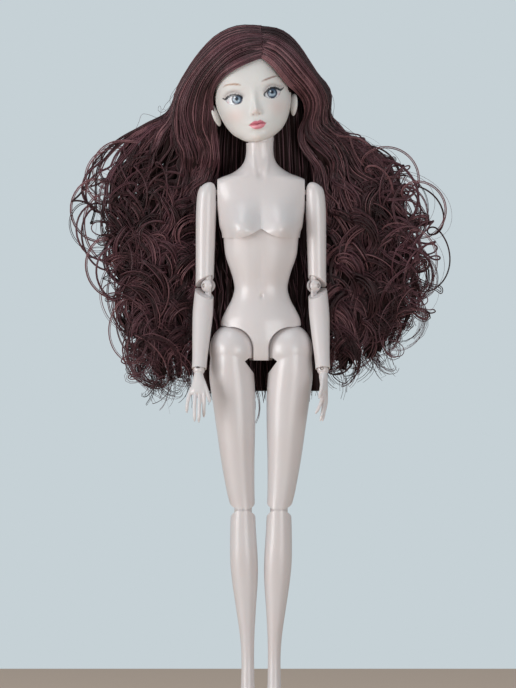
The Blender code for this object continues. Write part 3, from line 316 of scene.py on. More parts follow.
def saranFibre(name, dark, light, roughness):
    # Drawn saran fibre, dyed: glassy along its length, so a strand shows one sharp streak of light
    made, tree, shader = newFinish(name, roughness, {"Specular IOR Level": 0.35})
    place = addNode(tree, "ShaderNodeTexCoord").outputs["Object"]
    stretch = addNode(tree, "ShaderNodeMapping", {"Scale": (1.0, 1.0, 0.12)}, {"Vector": place})
    streak = addNode(tree, "ShaderNodeTexNoise", {"Scale": 420.0, "Detail": 3.0, "Roughness": 0.65}, {"Vector": stretch.outputs["Vector"]})
    patches = addNode(tree, "ShaderNodeTexNoise", {"Scale": 55.0, "Detail": 1.0}, {"Vector": place})
    both = addNode(tree, "ShaderNodeMath", {"operation": "MULTIPLY_ADD", 1: 0.75, 2: -0.12}, {0: streak.outputs["Fac"]})
    summed = addNode(tree, "ShaderNodeMath", {"operation": "ADD"}, {0: both.outputs[0], 1: patches.outputs["Fac"]})
    spread = addNode(tree, "ShaderNodeMapRange", {"From Min": 0.5, "From Max": 1.0}, {"Value": summed.outputs[0]})
    tone = addNode(tree, "ShaderNodeMix", {"data_type": "RGBA", 6: colour(dark), 7: colour(light)}, {0: spread.outputs["Result"]})
    tree.links.new(tone.outputs[2], shader.inputs["Base Color"])
    return made


def scalpFibre():
    # The imported roots and filler locks under the combed hair: nearly black, darker than the fibre on top, partly the
    # hair's own dark tone and partly painted shade deep in the hair mass; with fine combed ridges
    made, tree, shader = newFinish("rootedScalp", 0.6, {"Specular IOR Level": 0.12})
    place = addNode(tree, "ShaderNodeTexCoord").outputs["Object"]
    stretch = addNode(tree, "ShaderNodeMapping", {"Scale": (0.2, 1.0, 0.2)}, {"Vector": place})
    comb = addNode(tree, "ShaderNodeTexNoise", {"Scale": 1400.0, "Detail": 2.0}, {"Vector": stretch.outputs["Vector"]})
    tone = addNode(tree, "ShaderNodeMix", {"data_type": "RGBA", 6: colour("#150c0c"), 7: colour("#2c1a19")}, {0: comb.outputs["Fac"]})
    ridge = addNode(tree, "ShaderNodeBump", {"Strength": 0.5, "Distance": 0.0002}, {"Height": comb.outputs["Fac"]})
    tree.links.new(tone.outputs[2], shader.inputs["Base Color"])
    tree.links.new(ridge.outputs["Normal"], shader.inputs["Normal"])
    return made


def mouldedCore():
    # Unpainted nylon of the hidden joint parts: milky, with a dull moulded skin
    made, tree, shader = newFinish("milkyNylon", 0.5, {"Subsurface Weight": 0.2, "Subsurface Scale": 0.001})
    place = addNode(tree, "ShaderNodeTexCoord").outputs["Object"]
    cloud = addNode(tree, "ShaderNodeTexNoise", {"Scale": 300.0, "Detail": 3.0}, {"Vector": place})
    tone = addNode(tree, "ShaderNodeMix", {"data_type": "RGBA", 6: colour("#cdbdb4"), 7: colour("#d9cbc3")}, {0: cloud.outputs["Fac"]})
    tree.links.new(tone.outputs[2], shader.inputs["Base Color"])
    return made


def capPaint():
    # Steel pins with their ends dipped in skin paint: a dull coat with fine brush grain
    made, tree, shader = newFinish("dippedPinPaint", 0.45)
    place = addNode(tree, "ShaderNodeTexCoord").outputs["Object"]
    grain = addNode(tree, "ShaderNodeTexNoise", {"Scale": 5000.0, "Detail": 2.0}, {"Vector": place})
    tone = addNode(tree, "ShaderNodeMix", {"data_type": "RGBA", 6: colour("#c9bdb7"), 7: colour("#d6cbc5")}, {0: grain.outputs["Fac"]})
    tree.links.new(tone.outputs[2], shader.inputs["Base Color"])
    return made


skin = pearlAbs("pearlAbs", skinLook)
trunkSkin = pearlAbs("pearlAbsTrunk", skinLook, seam=True)
vinyl = paintedVinyl()
nylon = mouldedCore()
steel = capPaint()
scalp = scalpFibre()
fibres = [
    saranFibre("saranDark", "#241214", "#402529", 0.42),
    saranFibre("saranBrown", "#3e2427", "#66424a", 0.40),
    saranFibre("saranLight", "#553538", "#8a6165", 0.38),
]
print("finishes ready")


# ---- trunk

chest = {
    "rows": [  # height, half width, front, back
        (64.0, 5.6, 5.5, 5.63), (60.2, 5.6, 5.4, 5.72), (57.0, 6.1, 5.48, 6.16), (54.4, 7.7, 5.82, 7.0), (52.4, 10.0, 6.17, 7.6),
        (50.6, 13.0, 6.6, 8.0), (49.1, 17.0, 6.85, 8.1), (47.2, 19.9, 7.3, 8.3), (43.0, 20.2, 8.0, 8.6), (38.0, 19.4, 8.8, 8.8),
        (33.0, 18.7, 10.2, 8.8), (28.0, 18.1, 11.8, 8.7), (24.0, 17.0, 12.9, 8.8), (16.6, 16.6, 13.2, 8.8),
    ],
    "bustSpread": 9.5, "bustHeight": 28.6, "bustRadius": 7.0, "bustDepth": 5.4,
    "sidePlane": 19.0, "neckBall": 5.6, "neckHeight": 65.5, "dome": 22.3, "waist": 8.1,
}


def scallopHeight(x):
    # lower edge of the chest piece: high in the middle, low under each breast
    reach = abs(x) / 20
    if reach < 0.43:
        return 25.7 - 4.4 * (0.5 - 0.5 * math.cos(math.pi * reach / 0.43))
    return 21.3 + 1.8 * min((reach - 0.43) / 0.52, 1.0) ** 2


def makeChest():
    rows = [
        (z, -0.5 * min(max((z - 50) / 6, 0), 1), 0, wide + 0.35 * min(max((z - 52) / 5, 0), 1), front, back)
        for z, wide, front, back in chest["rows"]
    ]
    form = loftForm(rows, 120, 144)
    for vert in form.verts:
        x, y, z = vert.co
        if y < 0:
            hold = min(1.0, -y / 6.0)
            across = (abs(x) - chest["bustSpread"]) / chest["bustRadius"]
            up = (z - chest["bustHeight"]) / chest["bustRadius"]
            swell = math.exp(-(abs(across) ** 2.2) - (abs(up) ** (1.7 if up > 0 else 2.6)) * (0.8 if up > 0 else 0.7))
            vert.co.y -= chest["bustDepth"] * swell * hold
            vert.co.y += 0.5 * bump(x, 0, 2.2) * bump(z, 30, 7) * hold  # between the breasts
            for side in (1, -1):  # tendons of the neck and the collarbones
                lean = side * (2.2 + 0.13 * (z - 49))
                vert.co.y -= 0.42 * bump(x, lean, 0.9) * bump(z, 55, 6.5) * hold
                bone = 49.0 - 0.05 * (abs(x) - 9)
                vert.co.y -= 0.40 * bump(z, bone, 1.2) * bump(x, side * 9.5, 6) * hold
            vert.co.y += 0.75 * bump(x, 0, 1.6) * bump(z, 50.2, 2.1) * hold
        else:
            vert.co.y += 0.5 * bump(x, 0, 2.6) * bump(z, 36, 12) * -1  # spine furrow
            for side in (1, -1):
                vert.co.y += 0.6 * bump(x, side * 9.5, 4.2) * bump(z, 38, 6)  # shoulder blades
    piece = solidOf(form, "chestShell")
    wide = 26.0
    steps = np.linspace(-wide, wide, 121)
    under = [(float(x), scallopHeight(x)) for x in steps] + [(wide, 0.0), (-wide, 0.0)]
    carve(piece, plateForm(under, 30, "y"))
    join(piece, ballForm(chest["neckBall"], 64), at(z=chest["neckHeight"]))
    carve(piece, ballForm(chest["dome"], 96), at(z=chest["waist"]))
    half, reach = 0.58 * chest["neckBall"], 0.82 * chest["neckBall"]
    for wide, deep in ((half, 0.66 * chest["neckBall"]), (0.8 * half, reach)):
        carve(piece, blockForm((-wide, -deep, -half), (wide, deep, 2 * chest["neckBall"])), at(z=chest["neckHeight"]))
    carve(piece, rodForm(2.5, (0, 0, 0), (0, 0, 31.2)), at(z=chest["waist"]))
    for side in (1, -1):
        carve(piece, blockForm((chest["sidePlane"], -20, 29.9), (40, 20, 64)), at(), side)
    finishPiece(piece, trunkSkin, "skin", "chest", "chest_front", "chest_back")


torso = {
    "rows": [
        (30.5, 16.2, 11.8, 8.9), (24.1, 16.3, 11.6, 8.8), (18.9, 16.0, 10.9, 8.6), (14.3, 15.3, 10.2, 8.3), (8.5, 13.3, 9.2, 7.95),
        (4.3, 12.1, 8.35, 7.6), (0.3, 11.6, 8.0, 7.5), (-4.3, 12.9, 8.3, 8.0), (-8.6, 15.2, 8.9, 9.0), (-12.5, 17.0, 9.4, 9.96),
        (-15.6, 17.4, 9.6, 10.5), (-19.9, 17.2, 9.8, 10.6), (-23.9, 16.6, 9.7, 10.2), (-28.5, 15.0, 8.7, 8.6), (-30.6, 13.9, 7.6, 7.2),
    ],
    "navelHeight": -2.6, "navelX": 0.3, "hipReach": 13.0, "hipDrop": 26.1, "hipBall": 11.2,
}


def makeTorso():
    rows = [(z, 0, 0, wide, front, back) for z, wide, front, back in torso["rows"]]
    form = loftForm(rows, 130, 144)
    for vert in form.verts:
        x, y, z = vert.co
        if y < 0:
            dip = math.hypot((x - torso["navelX"]) / 0.6, (z - torso["navelHeight"]) / 1.25)
            vert.co.y += 0.9 * math.exp(-(dip**2))
            vert.co.y += 0.30 * bump(x, 0, 1.5) * bump(z, 9, 9)  # furrow above the navel
            vert.co.y -= 0.35 * bump(abs(x), 5.5, 3.5) * bump(z, 8, 8)
            vert.co.y -= 0.7 * bump(x, 0, 7) * bump(z, -14, 8)  # belly
        else:
            vert.co.y -= 0.6 * bump(x, 0, 2.4) * bump(z, 6, 14)
            for side in (1, -1):
                vert.co.y += 0.7 * bump(x, side * 8.0, 5.0) * bump(z, -20, 7)
            vert.co.y -= 0.9 * bump(x, 0, 1.8) * bump(z, -25, 8)
    piece = solidOf(form, "abdomenShell")
    dome, waist = 22.0, 8.1
    cap = solidOf(ballForm(dome, 96), "cap", at(z=waist))
    join(cap, blockForm((-dome, -dome, -2 * dome), (dome, dome, waist)))
    step = piece.modifiers.new("step", "BOOLEAN")
    step.operation, step.solver, step.object = "INTERSECT", "MANIFOLD", cap
    settle(piece)
    bpy.data.objects.remove(cap)
    carve(piece, ballForm(5.9, 48), at(z=waist))
    carve(piece, rodForm(3.92, (0, 0, 3.36), (0, 0, dome + 2), farRadius=8.4), at(z=waist))
    for side in (1, -1):
        hip = at(side * torso["hipReach"], 0, -torso["hipDrop"])
        carve(piece, ballForm(torso["hipBall"] + gap, 96), hip, side)
        for step in range(1, 7):  # room in front for the raised thigh
            raised = hip @ turned(-15 * step, "X")
            carve(piece, limbForm(thigh["clearRows"], 36, 64, gap), raised, side)
    carve(piece, rodForm(2.15, (-13, 0, 0), (13, 0, 0)), at(z=-torso["hipDrop"]))
    finishPiece(piece, trunkSkin, "skin", "torso", "torso_front", "torso_back")


# ---- limbs, drawn for the left side and mirrored for the right

upperArm = {"rows": [  # drop, shift, half width, front, back
    (4.9, -1.6, 0.15, 0.15, 0.15), (4.75, -1.6, 0.9, 0.9, 0.9), (4.4, -1.45, 1.75, 1.9, 1.9), (3.8, -1.2, 2.5, 2.7, 2.7),
    (3.0, -0.95, 3.15, 3.4, 3.4), (2.0, -0.7, 3.65, 4.0, 4.0), (0.8, -0.5, 3.98, 4.4, 4.4), (-1.0, -0.32, 4.2, 4.58, 4.58),
    (-3.5, -0.2, 4.32, 4.58, 4.58), (-10.1, -0.05, 4.38, 4.53, 4.53), (-22.3, 0, 4.18, 4.4, 4.4), (-34.4, 0, 3.96, 4.18, 4.18),
    (-40.5, 0, 3.96, 4.09, 4.09), (-45.4, 0, 4.05, 4.09, 4.09),
], "length": 40.5}
forearm = {"rows": [
    (4.6, 0, 3.78, 3.96, 3.96), (0.0, 0, 3.87, 4.09, 4.09), (-5.8, 0, 4.27, 4.4, 4.4), (-13.5, 0, 4.4, 4.4, 4.4),
    (-23.2, 0, 3.92, 3.96, 3.96), (-32.8, 0, 3.3, 3.34, 3.34), (-38.02, 0, 3.17, 3.17, 3.17),
], "length": 38.6}
thigh = {"rows": [
    (5.55, 0.2, 5.5, 8.2, 7.4), (1.39, 0.2, 7.8, 10.4, 9.9), (-3.47, 0.2, 8.8, 11.0, 10.7), (-8.33, -0.1, 9.5, 10.9, 10.7),
    (-13.19, -0.4, 9.8, 10.6, 10.6), (-21.51, -1.2, 9.4, 10.0, 9.96), (-34.7, -2.1, 8.4, 9.05, 8.9), (-47.89, -2.9, 7.3, 7.84, 7.74),
    (-61.07, -4.1, 6.1, 6.57, 6.57), (-69.4, -5.2, 5.3, 5.94, 5.83), (-77.73, -5.5, 5.2, 5.83, 5.72),
], "length": 69.4, "clearRows": [
    (5.55, 0.2, 5.5, 6.57, 7.0), (1.39, 0.2, 7.8, 9.12, 9.33), (-3.47, 0.2, 8.8, 9.75, 10.18), (-8.33, -0.1, 9.5, 9.75, 10.39),
    (-13.19, -0.4, 9.8, 9.96, 10.49), (-21.51, -1.2, 9.4, 9.86, 9.96), (-34.7, -2.1, 8.4, 9.01, 8.9), (-77.7, -5.5, 5.2, 5.8, 5.7),
]}
shin = {"rows": [
    (8.0, 0, 5.22, 5.94, 5.28), (0.0, 0, 5.28, 6.07, 5.41), (-8.0, 0, 5.58, 5.94, 5.94), (-20.8, -0.36, 6.0, 5.68, 7.26),
    (-30.4, -0.78, 5.64, 5.15, 6.93), (-42.4, -1.26, 4.38, 4.22, 5.02), (-54.4, -1.8, 3.18, 3.43, 3.43),
    (-64.0, -2.04, 2.76, 3.04, 2.97), (-73.6, -2.04, 2.88, 3.17, 3.1), (-79.04, -2.04, 3.06, 3.43, 3.3),
], "length": 80.0}
elbow = {"radius": 3.05, "back": 6.16, "seam": -0.61, "rise": 0.65, "fall": 0.52, "bend": 110, "stem": 9.76}
knee = {"radius": 4.0, "back": 6.83, "seam": 0.0, "rise": 0.55, "fall": 0.55, "bend": 110, "stem": 10.4}
wrist = {"radius": 2.5, "stem": 8.5, "spread": 40}
ankle = {"radius": 2.6, "stem": 7.8, "spread": 40}


def limbForm(rows, rings, sides, grow=0.0):
    return loftForm([(z, x, 0, wide + grow, front + grow, back + grow) for z, x, wide, front, back in rows][::-1], rings, sides)


def limbPlace(side, reach, height, splay=0.0, lean=0.0):
    return at(side * reach, 0, height) @ turned(-side * splay, "Y") @ turned(-lean, "X")


def keyholeForm(eye, reach, half, start, end):
    return plateForm(arcPoints(reach, start, end) + arcPoints(eye, end, start + math.tau), half)


def tongueForm(radius, half, neck, length, up=False):
    spread = math.asin(neck / radius)
    outline = arcPoints(radius, spread, math.tau - spread) + [(neck, -length), (-neck, -length)]
    return plateForm([(-y, -z) for y, z in outline] if up else outline, half)


def ballJoint(label, side, place, upper, lower, joint, body, node):
    # ball and stem held by the upper limb; the lower limb's tongue is pinned in the ball's slot
    radius = joint["radius"]
    eye, neck, half, pin = 0.58 * radius, 0.42 * radius, 0.20 * radius, 0.20 * radius
    ball = solidOf(ballForm(radius, 48), label, place, side)
    join(ball, rodForm(neck, (0, 0, 0.8 * radius), (0, 0, joint["stem"])), place, side)
    aside = math.asin((neck + gap) / (eye + gap))
    carve(ball, keyholeForm(eye + gap, 2 * radius, half + gap, -aside, math.radians(joint["bend"]) + aside), place, side)
    carve(ball, rodForm(pin + gap, (-radius, 0, 0), (radius, 0, 0)), place, side)
    finishPiece(ball, skin, "skin", body, node)
    wide, back, seam = 3 * radius, joint["back"], joint["seam"]
    span = back + wide
    down = [(back, seam), (-wide, seam + span * joint["rise"]), (-wide, -span), (back + wide, -span), (back + wide, seam)]
    carve(upper, plateForm(down, wide), place, side)
    carve(upper, ballForm(radius + gap, 48), place, side)
    carve(upper, rodForm(neck + gap, (0, 0, 0), (0, 0, joint["stem"] + gap)), place, side)
    low = seam - gap
    above = [(back, low), (-wide, low - span * joint["fall"]), (-wide, span), (back + wide, span), (back + wide, low)]
    carve(lower, plateForm(above, wide), place, side)
    carve(lower, ballForm(radius + gap, 48), place, side)
    join(lower, tongueForm(eye, half, neck, 2 * radius), place, side)
    carve(lower, rodForm(pin + gap, (-radius, 0, 0), (radius, 0, 0)), place, side)


def pegJoint(side, place, upper, lower, joint):
    radius = joint["radius"]
    eye, neck, half, pin = 0.58 * radius, 0.42 * radius, 0.20 * radius, 0.20 * radius
    carve(upper, ballForm(radius + gap, 40), place, side)
    carve(upper, rodForm(neck + gap, (0, 0, 0), (0, 0, joint["stem"] + gap)), place, side)
    spread = math.asin((neck + gap) / (eye + gap)) + math.radians(joint["spread"])
    carve(lower, keyholeForm(eye + gap, 2 * radius, half + gap, math.pi - spread, math.pi + spread), place, side)
    carve(lower, rodForm(pin + gap, (-2 * radius, 0, 0), (2 * radius, 0, 0)), place, side)


def hubSeat(limb, side, place, hub, pinReach, slotReach, most):
    axle, pin = 0.42 * hub, 0.23 * hub
    carve(limb, ballForm(hub + 2 * gap, 32), place, side)
    margin = math.asin((axle + 2 * gap) / hub)
    fan = plateForm(arcPoints(slotReach, math.pi / 2 - margin, math.pi / 2 + math.radians(most) + margin) + [(0.0, 0.0)], axle + 2 * gap)
    bmesh.ops.transform(fan, matrix=turned(-90, "Z"), verts=fan.verts)
    carve(limb, fan, place, side)
    carve(limb, rodForm(pin + gap, (0, -pinReach - gap, 0), (0, pinReach + gap, 0), segments=24), place, side)


def fingerForm(start, length, spread, curl, radius, steps=9):
    # a tapered finger, fuller at its joints, bent towards the palm; spread runs from its root to its tip
    x, y, z = start
    rows = []
    for k in range(steps + 1):
        share = k / steps
        size = radius * (1.04 - 0.34 * share) * (1 + 0.07 * bump(share, 0.48, 0.09) + 0.05 * bump(share, 0.76, 0.08))
        if k == steps:
            size *= 0.45
        rows.append((x, y, z, size, size))
        angle = curl * share
        aside = math.radians(spread[0] + (spread[1] - spread[0]) * share)
        x += length / steps * math.sin(angle)
        y += length / steps * math.sin(aside) * math.cos(angle)
        z -= length / steps * math.cos(aside) * math.cos(angle)
    return sweptForm(rows, 22, 16, Vector((1, 0, 0)))


hand = {
    "palm": 10.5, "wide": 3.5, "thick": 1.7, "finger": 14.6, "fingerRadius": 0.86,
    "fingers": [  # place across the palm, share of the length, spread at root and tip, curl
        (-1.0, 0.88, (-5, 7), -0.75), (-0.33, 1.0, (-3, 4), -0.40), (0.33, 0.97, (2, -3), -0.32), (1.0, 0.76, (20, -2), -0.45),
    ],
    "thumb": (0.74, (-26, -14), -0.30),
}


def makeHand(name, side, place):
    neck, thick, wide, palm = wrist["radius"], hand["thick"], hand["wide"], hand["palm"]
    rows = [
        (0.0, 0, 0, 0.60 * neck, 0.60 * neck, 0.60 * neck), (-0.25 * palm, 0, 0, 0.76 * neck, 0.86 * neck, 0.86 * neck),
        (-0.55 * palm, 0, 0, 0.98 * thick, 0.92 * wide, 0.80 * wide), (-0.88 * palm, 0, 0, 0.88 * thick, 0.95 * wide, 0.96 * wide),
        (-1.02 * palm, 0, 0, 0.62 * thick, 0.90 * wide, 0.92 * wide), (-1.08 * palm, 0, 0, 0.3 * thick, 0.8 * wide, 0.8 * wide),
    ]
    made = solidOf(loftForm(rows[::-1], 30, 40), name, place, side)
    add(made, ballForm(neck, 40), place, side)
    for across, share, spread, curl in hand["fingers"]:
        start = (0, 0.76 * wide * across, -(0.88 - 0.08 * abs(across)) * palm)
        add(made, fingerForm(start, share * hand["finger"], spread, curl, hand["fingerRadius"]), place, side)
    share, spread, curl = hand["thumb"]
    thumb = fingerForm((0, -0.50 * wide, -0.42 * palm), share * hand["finger"], spread, curl, 1.15 * hand["fingerRadius"])
    add(made, thumb, place, side)
    softenUnion(made, 0.16, 4)
    return made


def softenUnion(piece, voxel, rounds):
    # the joined forms are remeshed and smoothed, so that fingers and toes run into the limb as moulded
    step = piece.modifiers.new("step", "REMESH")
    step.mode, step.voxel_size = "VOXEL", voxel
    ease = piece.modifiers.new("ease", "SMOOTH")
    ease.factor, ease.iterations = 0.5, rounds
    settle(piece)


def makeArm(label, side, handTurn):
    shoulder = limbPlace(side, 23.8, 42.4, 1.0)
    upper = solidOf(limbForm(upperArm["rows"], 90, 64), f"upperArm{label}", shoulder, side)
    hubSeat(upper, side, limbPlace(side, 23.8, 42.4), 2.6, 3.6, 9.2, 90)
    bend = shoulder @ at(z=-upperArm["length"]) @ turned(-side * 45, "Z") @ at(y=-2.2)
    below = shoulder @ at(z=-upperArm["length"]) @ turned(-side * 2.7, "Y") @ turned(-18, "X")
    lower = solidOf(limbForm(forearm["rows"], 70, 64), f"forearm{label}", below, side)
    low = label.lower()
    ballJoint(f"elbowBall{label}", side, bend, upper, lower, elbow, f"{low}_elbow", f"elbow_{low}_joint")
    grip = below @ at(z=-forearm["length"]) @ turned(-side * handTurn, "Z")
    palm = makeHand(f"hand{label}", side, grip)
    pegJoint(side, grip @ turned(side * 90, "Z"), lower, palm, wrist)
    finishPiece(upper, skin, "skin", f"{low}_upper_arm", f"upper_arm_{low}")
    finishPiece(lower, skin, "skin", f"{low}_forearm", f"forearm_{low}")
    finishPiece(palm, skin, "skin", f"{low}_hand", f"hand_{low}", sharp=55)


foot = {"drop": 15.0, "length": 24.5, "wide": 4.0, "sole": 15.5}


def makeFoot(name, side, place):
    drop, reach, wide, neck = foot["drop"], foot["length"], foot["wide"], ankle["radius"]
    across = Vector((1, 0, 0))
    rows = [
        (0, 0.03 * reach, 0.0, 0.60 * neck, 0.60 * neck), (0, -0.04 * reach, -0.20 * drop, 0.72 * wide, neck),
        (0, -0.14 * reach, -0.48 * drop, 0.76 * wide, 1.2 * neck), (0, -0.34 * reach, -0.74 * drop, 0.88 * wide, 0.95 * neck),
        (0, -0.52 * reach, -0.87 * drop, wide, 0.75 * neck), (0, -0.66 * reach, -0.92 * drop, 0.96 * wide, 0.55 * neck),
        (0, -0.72 * reach, -0.93 * drop, 0.80 * wide, 0.40 * neck),
    ]
    made = solidOf(sweptForm(rows, 40, 40, across), name, place, side)
    add(made, ballForm(neck, 40), place, side)
    heel = [
        (0, 0.10 * reach, -0.62 * drop, 0.30 * wide, 0.30 * wide), (0, 0.09 * reach, -0.52 * drop, 0.62 * wide, 0.60 * wide),
        (0, 0.05 * reach, -0.34 * drop, 0.66 * wide, 0.70 * wide), (0, 0.01 * reach, -0.10 * drop, 0.50 * wide, 0.50 * wide),
    ]
    add(made, sweptForm(heel, 24, 32, across), place, side)
    for k in range(5):
        share = k / 4
        x, y = wide * (-0.72 + 1.46 * share), -reach * (0.72 - 0.09 * share**2)
        size = wide * (0.30 - 0.10 * share)
        toe = [
            (x, y + 0.10 * reach, -0.91 * drop, size, size), (x, y - 0.06 * reach, -0.93 * drop, size, size),
            (x, y - 0.14 * reach, -0.94 * drop, 0.75 * size, 0.75 * size), (x, y - 0.17 * reach, -0.94 * drop, 0.3 * size, 0.3 * size),
        ]
        add(made, sweptForm(toe, 14, 16, across), place, side)
    softenUnion(made, 0.2, 4)
    carve(made, blockForm((-2 * wide, -2 * reach, -2 * drop), (2 * wide, reach, -foot["sole"])), place, side)
    return made


def makeLeg(label, side):
    low = label.lower()
    hip = limbPlace(side, 13.0, -26.1)
    head = ballForm(11.2, 96)
    for vert in head.verts:
        if vert.co.x > 0:
            vert.co.x *= 0.84
    upper = solidOf(head, f"thigh{label}", hip, side)
    notch = [(-7.7, -4.14), (11.2, -14.5), (11.2, -22.4), (-22.4, -22.4), (-22.4, -4.14)]
    carve(upper, plateForm(notch, 22.4, "y"), hip, side)
    add(upper, limbForm(thigh["rows"], 100, 96), hip, side)
    softenUnion(upper, 0.45, 16)
    crotch = [(-7.7, -3.6), (-6.0, -4.95), (-11.6, -12.5), (-26, -12.5), (-26, -3.6)]
    carve(upper, plateForm(crotch, 22.4, "y"), hip, side)
    hubSeat(upper, side, hip, 4.4, 6.94, 22.4, 40)
    bend = limbPlace(side, 7.8, -95.5)
    lower = solidOf(limbForm(shin["rows"], 100, 80), f"shin{label}", bend, side)
    ballJoint(f"kneeBall{label}", side, bend @ at(y=1.0) @ turned(180, "Z"), upper, lower, knee, f"{low}_thigh", f"knee_{low}_joint")
    stand = bend @ at(-side * 2.0, 0, -shin["length"])
    sole = makeFoot(f"foot{label}", side, stand)
    pegJoint(side, stand, lower, sole, ankle)
    finishPiece(upper, skin, "skin", f"{low}_thigh", f"thigh_{low}")
    finishPiece(lower, skin, "skin", f"{low}_shin", f"shin_{low}")
    finishPiece(sole, skin, "skin", f"{low}_foot", f"foot_{low}", sharp=55)


# ---- head, drawn upright in millimetres from the neck ball, then tilted

headPlace = at(z=65.5) @ turned(-8, "Y")
headShape = {
    "rows": [  # height, x, y, half width, front, back
        (-1.0, -1.6, -9.5, 0.8, 0.8, 0.8), (-0.8, -1.6, -9.0, 2.8, 3.6, 3.5), (0.0, -1.3, -7.5, 5.6, 6.0, 8.0),
        (1.2, -1.1, -6.0, 7.7, 8.0, 11.0), (3.9, -0.9, -3.5, 11.1, 10.9, 14.0), (8.3, -0.8, -1.0, 13.9, 13.7, 16.0),
        (13.8, -0.8, 0.0, 15.8, 15.1, 17.0), (18.5, -0.8, 0.6, 16.6, 15.6, 17.6), (25.0, -0.8, 0.7, 16.6, 15.9, 18.0),
        (32.0, -0.8, 0.7, 15.6, 15.0, 17.4), (38.0, -0.8, 0.7, 13.0, 12.6, 15.0), (42.0, -0.8, 0.7, 9.6, 9.4, 11.3),
        (44.6, -0.8, 0.7, 5.6, 5.4, 6.6), (45.7, -0.8, 0.7, 2.0, 2.0, 2.4), (46.0, -0.8, 0.7, 0.3, 0.3, 0.3),
    ],
}
eyes = {
    "left": {
        "lash": [(-14.3, 19.9), (-13.0, 19.2), (-11.87, 19.87), (-10.5, 20.33), (-9.18, 20.43), (-7.68, 20.22), (-6.44, 19.76), (-5.66, 19.1), (-5.5, 18.2)],
        "low": [(-5.6, 17.7), (-6.2, 16.78), (-7.36, 16.25), (-8.68, 16.15), (-9.97, 16.3), (-11.3, 16.65), (-12.2, 17.4), (-12.8, 18.6)],
        "crease": [(-12.85, 20.5), (-11.64, 21.4), (-10.07, 21.75), (-8.56, 21.69), (-7.1, 21.27), (-5.91, 20.44), (-5.3, 19.6)],
        "iris": (-8.04, 18.42), "pupil": (-8.1, 18.65), "shine": (-8.75, 19.35),
    },
    "right": {
        "lash": [(13.1, 20.95), (11.6, 19.95), (10.62, 20.3), (9.61, 20.88), (8.58, 21.24), (7.48, 21.18), (6.33, 20.79), (5.36, 20.06), (4.51, 19.42), (3.99, 18.84), (4.05, 17.95)],
        "low": [(4.3, 17.9), (5.0, 17.4), (6.02, 16.95), (7.29, 16.68), (8.61, 16.78), (9.74, 17.1), (10.65, 17.9), (11.3, 19.2)],
        "crease": [(4.3, 20.3), (5.34, 21.45), (6.76, 22.26), (8.09, 22.44), (9.36, 22.2), (10.59, 21.7), (11.7, 21.2)],
        "iris": (7.51, 19.05), "pupil": (7.6, 19.4), "shine": (6.9, 19.9),
    },
}


def around(value, middle, width):
    return np.exp(-(((value - middle) / width) ** 2))


def faceSwell(x, z):
    # how far the face stands forward of the plain head, mm
    rise = np.interp(z, [10.0, 10.7, 11.5, 12.4, 13.4, 15.5, 17.5, 20, 22, 25], [0, 0.75, 1.95, 2.45, 2.25, 1.5, 1.0, 0.65, 0.4, 0])
    wide = np.interp(z, [10, 12.3, 16, 20, 25], [2.0, 1.7, 1.3, 1.5, 2.5])
    swell = rise * around(x, -0.45, wide)
    swell += 0.55 * (around(x, -2.3, 0.8) + around(x, 1.55, 0.8)) * around(z, 11.3, 0.95)
    swell -= 0.35 * (around(x, -1.7, 0.45) + around(x, 0.9, 0.45)) * around(z, 10.75, 0.35)
    swell += 1.0 * around(x, -0.5, 4.6) * around(z, 6.9, 3.6)
    swell += 0.60 * around(x, -0.6, 2.9) * around(z, 7.3, 0.75) + 0.80 * around(x, -0.7, 2.3) * around(z, 5.2, 0.85)
    swell -= 0.55 * around(x, -0.6, 3.5) * around(z, 6.45, 0.33)
    swell -= 0.45 * around(x, -0.8, 2.6) * around(z, 3.3, 0.9)
    swell += 0.9 * around(x, -1.5, 3.4) * around(z, 1.0, 2.3)
    swell -= 0.18 * around(x, -0.6, 0.6) * around(z, 8.8, 0.9)
    for middle, height in ((-9.0, 18.7), (7.9, 19.2)):
        swell -= 1.1 * around(x, middle, 4.6) * around(z, height, 3.4)
        swell += 0.85 * around(x, middle, 3.0) * around(z, height - 0.2, 2.1)
        swell -= 0.22 * around(x, middle, 4.0) * around(z, height + 2.9, 0.55)
        swell += 0.35 * around(x, middle, 5.0) * around(z, height - 8.0, 4.0)
    return swell


def nearPath(points, x, z):
    # distance to a path, and how far along it the nearest place is, 0 to 1
    points = np.array(points, float)
    best, along = np.full(len(x), 1e9), np.zeros(len(x))
    for k in range(len(points) - 1):
        a, b = points[k], points[k + 1]
        way = b - a
        share = np.clip(((x - a[0]) * way[0] + (z - a[1]) * way[1]) / (way @ way), 0, 1)
        away = np.hypot(x - a[0] - share * way[0], z - a[1] - share * way[1])
        closer = away < best
        best[closer] = away[closer]
        along[closer] = ((k + share) / (len(points) - 1))[closer]
    return best, along


def insidePath(points, x, z):
    points = np.array(points, float)
    inside = np.zeros(len(x), bool)
    for a, b in zip(points, np.roll(points, -1, axis=0)):
        if a[1] == b[1]:
            continue
        crosses = ((a[1] > z) != (b[1] > z)) & (x < (b[0] - a[0]) * (z - a[1]) / (b[1] - a[1]) + a[0])
        inside ^= crosses
    return inside


def softEdge(away, width, blur=0.09):
    return np.clip((width - away) / blur + 0.5, 0, 1)


def spot(x, z, middle, wide, tall):
    return np.exp(-(((x - middle[0]) / wide) ** 2) - ((z - middle[1]) / tall) ** 2)


